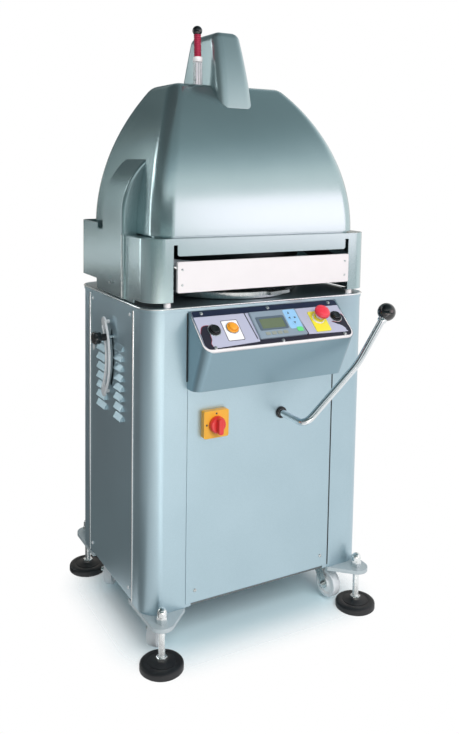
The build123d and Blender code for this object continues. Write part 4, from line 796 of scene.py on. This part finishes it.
for node, (place, body, profile, finish, bezel_finish) in BUTTONS.items():
    slot = "amber_lens" if finish is lamp_amber else "black_plastic"
    plunger = turned(f"{node}_cap", on_console(*place), profile, finish, body, slot)
    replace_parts(plunger, node)
    bezel = turned(f"{node}_bezel", on_console(*place), BEZEL, bezel_finish, "cabinet", slot)
    if node == "two_hand_button_left":
        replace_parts(bezel, "button_bezels")
    turned(f"{node}_seat", on_console(*place), SEAT, zinc, "cabinet", "zinc_steel")

ESTOP = on_console(127, 2.5)
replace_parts(turned("estop_mushroom_cap", ESTOP, MUSHROOM, knob_red, "estop", "red_plastic"), "estop_mushroom")
turned("estop_collar_ring", ESTOP, COLLAR, film_white, "cabinet", "yellow_plastic")
turned("estop_neck", ESTOP, NECK, film_white, "cabinet", "yellow_plastic")
print("buttons:", list(BUTTONS), "and the emergency stop")

# %% [markdown]
# ## Beads, hems and shade strips
# The console's lower lip is rolled over, the side panels and the fairing have folded hems along their
# upright edges, and the cabinet's top ends in a rounded rim. All are small round forms. CAD keeps them
# square, so we lay a round bead on each, and give the beads a bright zinc or white finish: a painted highlight
# for the bright lines they show. The lip's bead follows the round corners and is thickest along the foot,
# where the highlight is widest. Dark strips in the rubber finish fill the wide seam beside the front panel
# and the joints beside the console: painted shade of those gaps.

# %% Beads, hems and shade strips
PLAN = stand((0, 0, 0), UP)
LIP_SIDE, LIP_FOOT, LIP_CORNER = 190, -37, 20
HEM_Y, HEM_SPAN, HEM_RADIUS = 151.4, (116, 836), 2.6
FAIRING_EDGE_Y, FAIRING_SPAN, FAIRING_HEM_RADIUS = -97, (857, 1012), 2.4
SEAM_X, SEAM_MIDDLE = 210, 479
SEAL_U, SEAL_MIDDLE = 214, 754
RIM_DROP, RIM_RADIUS = 2.2, 2.4


def arc(centre, radius, start, stop, steps=8):
    """Points on an arc between two angles in degrees."""
    turns = [radians(start + (stop - start) * i / steps) for i in range(steps + 1)]
    return [(centre[0] + radius * cos(a), centre[1] + radius * sin(a)) for a in turns]


def upright_hem(name, place, radius, span, body):
    """An upright round hem between two heights, in the bright finish: a painted highlight."""
    outline = arc(place, radius, 0, 360, 12)[:-1]
    sheet(name, PLAN, outline, *span, bright_zinc, body, "silver_paint", sharp=60)


lip = [(-210, 48), (-210, 0), *arc((-LIP_SIDE, LIP_FOOT), LIP_CORNER, 180, 270),
       *arc((LIP_SIDE, LIP_FOOT), LIP_CORNER, 270, 360), (210, 0), (210, 30)]
# The lip's bead is white and grows where the highlight on the lip is widest: a painted highlight.
grows = [1.0, 1.6, *[2.0 + 0.3 * i for i in range(9)], *[4.0 - 0.25 * i for i in range(9)], 1.6, 1.0]
rolled("console_lip_highlight_bead", CONSOLE, lip, grows, flap_white, "cabinet", "silver_paint", -1.0, 12, sharp=60)
for side_name, side in (("left", -1), ("right", 1)):
    for end_name, y in (("front", -HEM_Y), ("rear", HEM_Y)):
        name = f"panel_hem_{side_name}_{end_name}"
        upright_hem(name, (side * SIDE_FACE, y), HEM_RADIUS, HEM_SPAN, "cabinet")
cover_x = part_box("side_fairing")[0][0] / MM - PRESS_AXIS.x
upright_hem("fairing_hem", (cover_x, FAIRING_EDGE_Y), FAIRING_HEM_RADIUS, FAIRING_SPAN, "head")
# The dark strips in the front seam and beside the console, with the rubber finish, are painted shade of those
# gaps.
sheet("panel_seam_shade_strip", stand((SEAM_X, FRONT_FACE, SEAM_MIDDLE), FRONT), rounded(3.6, 714, 1.4), -2.0, -0.7,
      pad_rubber, "cabinet", "black_plastic", edge=0.4)
for side_name, u in (("left", -SEAL_U), ("right", SEAL_U)):
    strip = rounded(3, 164, 1.2, (u, SEAL_MIDDLE))
    sheet(f"console_shade_strip_{side_name}", stand((0, FRONT_FACE, 0), FRONT), strip, 0, 1.8, pad_rubber, "cabinet",
          "black_plastic", edge=0.4)
# The rim bead takes the bright finish: a painted highlight along the top edge.
rim = rounded(637.6, 467.6, 46.8)
rim_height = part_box("cabinet_top")[1][2] / MM - RIM_DROP
rolled("top_rim_bead", stand((0, 0, rim_height), UP), rim + rim[:1], RIM_RADIUS, bright_zinc, "cabinet",
       "silver_paint")
# The gasket and the console seals named in the print are the dark strips of painted shade.
print("lip bead, five hems, gasket, console seals and rim bead laid")

# %% [markdown]
# ## Screw heads
# The panels and the film are held by small dome-headed screws with a hexagon socket. CAD has plain discs
# for them. Each is turned here with a domed top and a sunken socket, and seated on a thin washer. Those
# on the side panels are drawn glossy white, a painted glint for their plating.

# %% Screw heads
HEAD = [(0, 0), (4.6, 0), (4.6, 0.5), (4.1, 0.8), (4.0, 1.4), (3.4, 2.3), (2.4, 2.8), (1.7, 2.9), (1.5, 1.4),
        (0, 1.3)]
SMALL = [(0, 0), (3.1, 0), (3.0, 0.7), (2.3, 1.3), (1.3, 1.5), (1.1, 0.8), (0, 0.7)]
FLAP_FACE = -242
on_film = Matrix.Translation((0, 0, FILM[0]))
screw_places = [(on_console(u, v) @ on_film, zinc) for v in (-50, 50) for u in (-183, 0, 183)]
screw_places += [(stand((x, FRONT_FACE, 152), FRONT), zinc) for x in (-186, 186)]
# The side-panel screws take the white finish: a painted glint.
screw_places += [(stand((side * SIDE_FACE, y, z), (side, 0, 0), (0, side, 0)), rod_white)
                 for side in (-1, 1) for y in (-130, 130) for z in (143, 823)]
screws = [turned(f"screw_{i + 1:02d}", place, HEAD, finish, "cabinet", "zinc_steel", steps=24)
          for i, (place, finish) in enumerate(screw_places)]
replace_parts(screws[0], "panel_screws")
for i, (x, z) in enumerate([(-233, 940), (-233, 904), (233, 940), (233, 904)]):
    place = stand((x, FLAP_FACE, z), FRONT)
    turned(f"flap_screw_{i + 1}", place, SMALL, zinc, "flap", "zinc_steel", steps=20)
turned("fairing_screw", stand((cover_x, -15, 886), LEFT, FRONT), SMALL, zinc, "head", "zinc_steel", steps=20)
print("screw heads:", len(screws), "on the cabinet, 4 on the flap and one on the fairing")

# %% [markdown]
# ## Main switch
# The main switch is a yellow square plate with a round orange-red knob that turns a quarter. The knob has
# a skirt with a fluted edge and a raised grip across it. The skirt is turned with a wavy radius, and the
# grip is a sheet with round ends, softened by a bevel.

# %% Main switch
def fluted(count, depth):
    """Radius of a round edge with flutes, cut by twice this share of it."""
    return lambda a: 1 - depth * (1 - cos(count * a))


SWITCH = stand((-141, -247, 564), FRONT)
SKIRT = [(0, 0.3), (20.4, 0.3), (21, 1.2), (20.6, 9), (19.4, 11.8), (17.5, 13), (15, 13.3), (0, 13.3)]
MARK_RADIUS = 26
knob = turned("main_switch_skirt", SWITCH, SKIRT, switch_red, "switch_knob", "red_plastic",
              shape=fluted(24, 0.012), steps=144)
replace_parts(knob, "main_switch_knob")
sheet("main_switch_grip", SWITCH, rounded(13, 40, 5), 12, 27, switch_red, "switch_knob", "red_plastic",
      edge=2.5)
sheet("main_switch_face", SWITCH, rounded(60, 60, 4), -0.2, 0.15, switch_yellow, "cabinet", "yellow_plastic")
for i, turn in enumerate((90, 180)):
    u, v = MARK_RADIUS * cos(radians(turn)), MARK_RADIUS * sin(radians(turn))
    square = rounded(4.5, 4.5, 1.0, (u, v))
    sheet(f"main_switch_mark_{i + 1}", SWITCH, square, 0.15, 0.3, film_plum, "cabinet", "yellow_plastic")
print("main switch: skirt, grip, face and two position marks")

# %% [markdown]
# ## Levers and knobs
# The rounding lever is chrome bar in a black bush, with a phenolic ball screwed on its end over a ferrule.
# The weight adjuster on the left side runs between two chrome rails, drawn white as a painted highlight, and
# is clamped by a six-lobed knob. The lever on the hood has a ribbed crimson grip between a white collar and a
# black ball. Ribs and lobes are cheap in a turned profile: ribs are steps along it, and lobes are a wave in the
# radius.

# %% Rounding lever and weight adjuster
BUSH = stand((52, FRONT_FACE, 562), FRONT)
BUSH_RING = [(9.3, 0), (14.6, 0), (14.6, 3.8), (13.8, 5.4), (12.2, 6), (10.2, 5.8), (9.3, 5)]
FERRULE = [(9.0, 0), (10.6, 0.6), (11.6, 2.0), (11.6, 9), (9.0, 9.4)]
LEVER_RISE, FERRULE_BACK = radians(55), 29
turned("lever_bush_ring", BUSH, BUSH_RING, satin_black, "cabinet", "black_plastic")
ball_low, ball_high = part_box("lever_ball")
ball_centre = (Vector(ball_low) + Vector(ball_high)) / 2 / MM - PRESS_AXIS
lever_line = Vector((cos(LEVER_RISE), 0, sin(LEVER_RISE)))
lever_end = stand(ball_centre - lever_line * FERRULE_BACK, lever_line, REAR)
turned("lever_ferrule", lever_end, FERRULE, chrome, "lever", "chrome_bar")

GUIDE = stand((-333, 0, 0), LEFT, FRONT)
GUIDE_CENTRE, GUIDE_TURN = (-124, 692), 36
RAILS = {"inner": 134.3, "outer": 157.7}
KNOB = stand((-333.35, -11.37, 746.69), LEFT, FRONT)
KNOB_HEAD = [(5, 15), (12.6, 15.2), (15.0, 16.4), (15.8, 18.4), (15.8, 29.5), (15.0, 32.6), (13, 34.6),
             (10, 35), (6.4, 35), (5.8, 34), (0, 33.8)]
KNOB_STEM = [(6.2, 0.4), (9, 0.4), (9, 13.4), (10.6, 15.4), (6.2, 15.4)]
LOBES, LOBE_DEPTH = 6, 0.075
# The rails are chrome, drawn white: a painted highlight.
for name, radius in RAILS.items():
    rail = arc(GUIDE_CENTRE, radius, -GUIDE_TURN, GUIDE_TURN, 24)
    rolled(f"guide_rail_{name}", GUIDE, rail, 2.2, rod_white, "cabinet", "chrome_bar", -0.2)
knob_head = turned("weight_knob_head", KNOB, KNOB_HEAD, knob_black, "weight_clamp", "black_plastic",
                   shape=lambda a: 1 + LOBE_DEPTH * cos(LOBES * a), steps=96)
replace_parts(knob_head, "weight_knob")
turned("weight_knob_stem", KNOB, KNOB_STEM, satin_black, "weight_clamp", "black_plastic")
print("bush ring, ferrule, rails and lobed knob made")

# %% Lever on the hood
LEVER_FOOT, LEVER_LEAN = (-86, -21, 1325), radians(2.8)
TOP_LEVER = stand(LEVER_FOOT, (0, sin(LEVER_LEAN), cos(LEVER_LEAN)))
TOP_LEVER_FACE = stand(LEVER_FOOT, (0, -cos(LEVER_LEAN), sin(LEVER_LEAN)))
RIBS, RIB_STEP = 10, 5.4
RIB = [(9.6, 135.2), (9.2, 138.2), (8.4, 138.7), (8.4, 139.7), (9.6, 140.2)]
TOP_COLLAR = [(9, 121.2), (11.8, 121.2), (12.5, 122.2), (12.5, 133), (11.6, 134.4), (9, 134.4)]
grip = [(0, 133.8), (9.6, 133.8), *[(r, h + RIB_STEP * i) for i in range(RIBS) for r, h in RIB],
        (9.6, 190.8), (8.6, 191.8), (0, 191.8)]
ribbed = turned("top_lever_ribbed_grip", TOP_LEVER, grip, grip_crimson, "control_lever", "red_plastic")
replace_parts(ribbed, "top_lever_grip")
ball = [(0, 191.4)] + [(r, h) for r, h in arc((0, 201.6), 12.8, -52, 90, 14) if r > 0.01] + [(0, 214.4)]
turned("top_lever_ball", TOP_LEVER, ball, knob_black, "control_lever", "black_plastic", sharp=60)
turned("top_lever_collar", TOP_LEVER, TOP_COLLAR, flap_white, "control_lever", "white_plastic")
for i, u in enumerate((-7, 0, 7)):
    rib = rounded(4, 110, 1.9, (u, 65))
    sheet(f"top_lever_rib_{i + 1}", TOP_LEVER_FACE, rib, 6.3, 7.4, brushed, "control_lever", "chrome_bar",
          edge=0.6)
print("lever on the hood: ribbed grip, ball, collar and ribs")

# %% [markdown]
# ## Levelling feet
# Each foot is a black rubber pad moulded on a threaded stud, with a hexagon to turn it. The pad is a thick
# disc with a rounded rim and a groove. The thread is drawn as rings two millimetres apart instead of a
# helix: at this size the eye can't tell, and a turned profile stays light.

# %% Levelling feet
def hexagonal(a):
    """Radius of a hexagon by angle, 1 at its corners."""
    return cos(pi / 6) / cos((a + pi / 6) % (pi / 3) - pi / 6)


PAD = [(0, 0), (50, 0), (52.5, 2.2), (52.5, 12.5), (51.6, 15.4), (49.6, 17.4), (46.5, 18.6), (36, 19.4),
       (35, 18.8), (33.2, 18.9), (33.2, 19.7), (19, 20.9), (16.4, 22), (0, 22)]
NUT = [(0, 21.6), (12.6, 21.6), (13.8, 22.5), (13.8, 30.2), (12.6, 31), (0, 31)]
THREAD_RING = [(7.7, 31), (8.0, 31.7), (8.0, 32.2), (7.7, 32.9)]
THREAD_RINGS, THREAD_PITCH = 36, 2
FOOT_X, FOOT_Y = 286, 261
thread = [(0, 30), *[(r, h + THREAD_PITCH * i) for i in range(THREAD_RINGS) for r, h in THREAD_RING],
          (7.7, 104), (7.7, 130), (0, 130)]
for corner in CORNERS:
    x = -FOOT_X if corner.endswith("left") else FOOT_X
    y = -FOOT_Y if corner.startswith("front") else FOOT_Y
    foot, body = stand((x, y, 0), UP), f"foot_{corner}"
    pad = turned(f"foot_pad_{corner}", foot, PAD, pad_rubber, body, "foot_rubber", steps=72)
    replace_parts(pad, f"levelling_foot_{corner}")
    turned(f"foot_stud_{corner}", foot, thread, bright_zinc, body, "zinc_steel", steps=32)
    turned(f"foot_hexagon_{corner}", foot, NUT, bright_zinc, body, "zinc_steel", shape=hexagonal, sharp=25)
print("feet:", len(CORNERS), "pads with", len(thread), "thread points each")

# %% [markdown]
# ## Casters
# Behind each foot stands a small caster, lifted clear when the feet are down. A wheel is a white nylon
# centre with a dished web and a pale tread. The axle is a bolt with a hexagon head and nut outside the
# fork. The wheel joints in the frame tell us where each axle lies and which way it points.

# %% Casters
def both_halves(half):
    """A profile that is the same on both sides of the wheel's middle."""
    return half + [(r, -h) for r, h in reversed(half)]


CENTRE = both_halves([(5.2, -14), (12, -14), (12.4, -11), (14, -9.6), (25, -8.8), (27, -10.2), (28.4, -11.7),
                      (30, -11.7)])
TREAD = both_halves([(29.5, -11.9), (33.5, -12.5), (36.3, -11.6), (37.5, -8.8)])
BOLT = [(0, 17.3), (8.6, 17.3), (8.6, 18.2), (7.2, 18.4), (7.4, 18.8), (7.4, 22.4), (6.6, 23), (0, 23)]
STUB = [(0, 17.3), (8.6, 17.3), (8.6, 18.2), (7.4, 18.4), (7.4, 23), (6.4, 23.6), (5, 23.6), (5, 28),
        (4.4, 28.6), (0, 28.6)]
for corner in CORNERS:
    roll_joint = joints[f"wheel_{corner}_roll"]
    axle_place = Vector(roll_joint["pos_m"]) / MM - PRESS_AXIS
    axle_line = Vector(roll_joint["axis"])
    axle, far_side = stand(axle_place, axle_line, UP), stand(axle_place, -axle_line, UP)
    wheel, fork = f"wheel_{corner}", f"caster_{corner}"
    centre = turned(f"wheel_centre_{corner}", axle, CENTRE, wheel_nylon, wheel, "wheel_plastic")
    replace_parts(centre, f"caster_wheel_{corner}")
    turned(f"wheel_tread_{corner}", axle, TREAD, tyre_grey, wheel, "wheel_plastic", steps=64)
    turned(f"axle_head_{corner}", axle, BOLT, zinc, fork, "zinc_steel", shape=hexagonal, sharp=25)
    turned(f"axle_nut_{corner}", far_side, STUB, zinc, fork, "zinc_steel", shape=hexagonal, sharp=25)
print("casters:", len(CORNERS), "wheels with treads and axle bolts")

# %% [markdown]
# ## Cable gland
# The mains lead enters low on the rear through a nylon gland: a hexagon against the panel and a ribbed
# dome nut that squeezes a rubber ring. The ribs are a wave in the radius again.

# %% Cable gland
GLAND = stand((180, 232, 190), REAR, LEFT)
GLAND_HEXAGON = [(6.2, 0), (13.2, 0), (14, 0.8), (14, 6.4), (13.2, 7.2), (6.2, 7.2)]
DOME_NUT = [(6.2, 7), (12.4, 7), (12.8, 8), (12.8, 16), (11.6, 20), (9.4, 23.2), (8, 24), (6.2, 24)]
GLAND_SEAL = [(4.6, 15), (7.6, 15), (7.6, 23.4), (6.8, 24), (5.4, 23.4), (4.6, 21)]
hexagon = turned("gland_hexagon", GLAND, GLAND_HEXAGON, satin_black, "cabinet", "black_plastic",
                 shape=hexagonal, sharp=25)
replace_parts(hexagon, "cable_gland")
turned("gland_dome_nut", GLAND, DOME_NUT, satin_black, "cabinet", "black_plastic",
       shape=fluted(16, 0.03), steps=128)
turned("gland_seal", GLAND, GLAND_SEAL, pad_rubber, "cabinet", "black_plastic")
print("gland: hexagon, dome nut and seal")
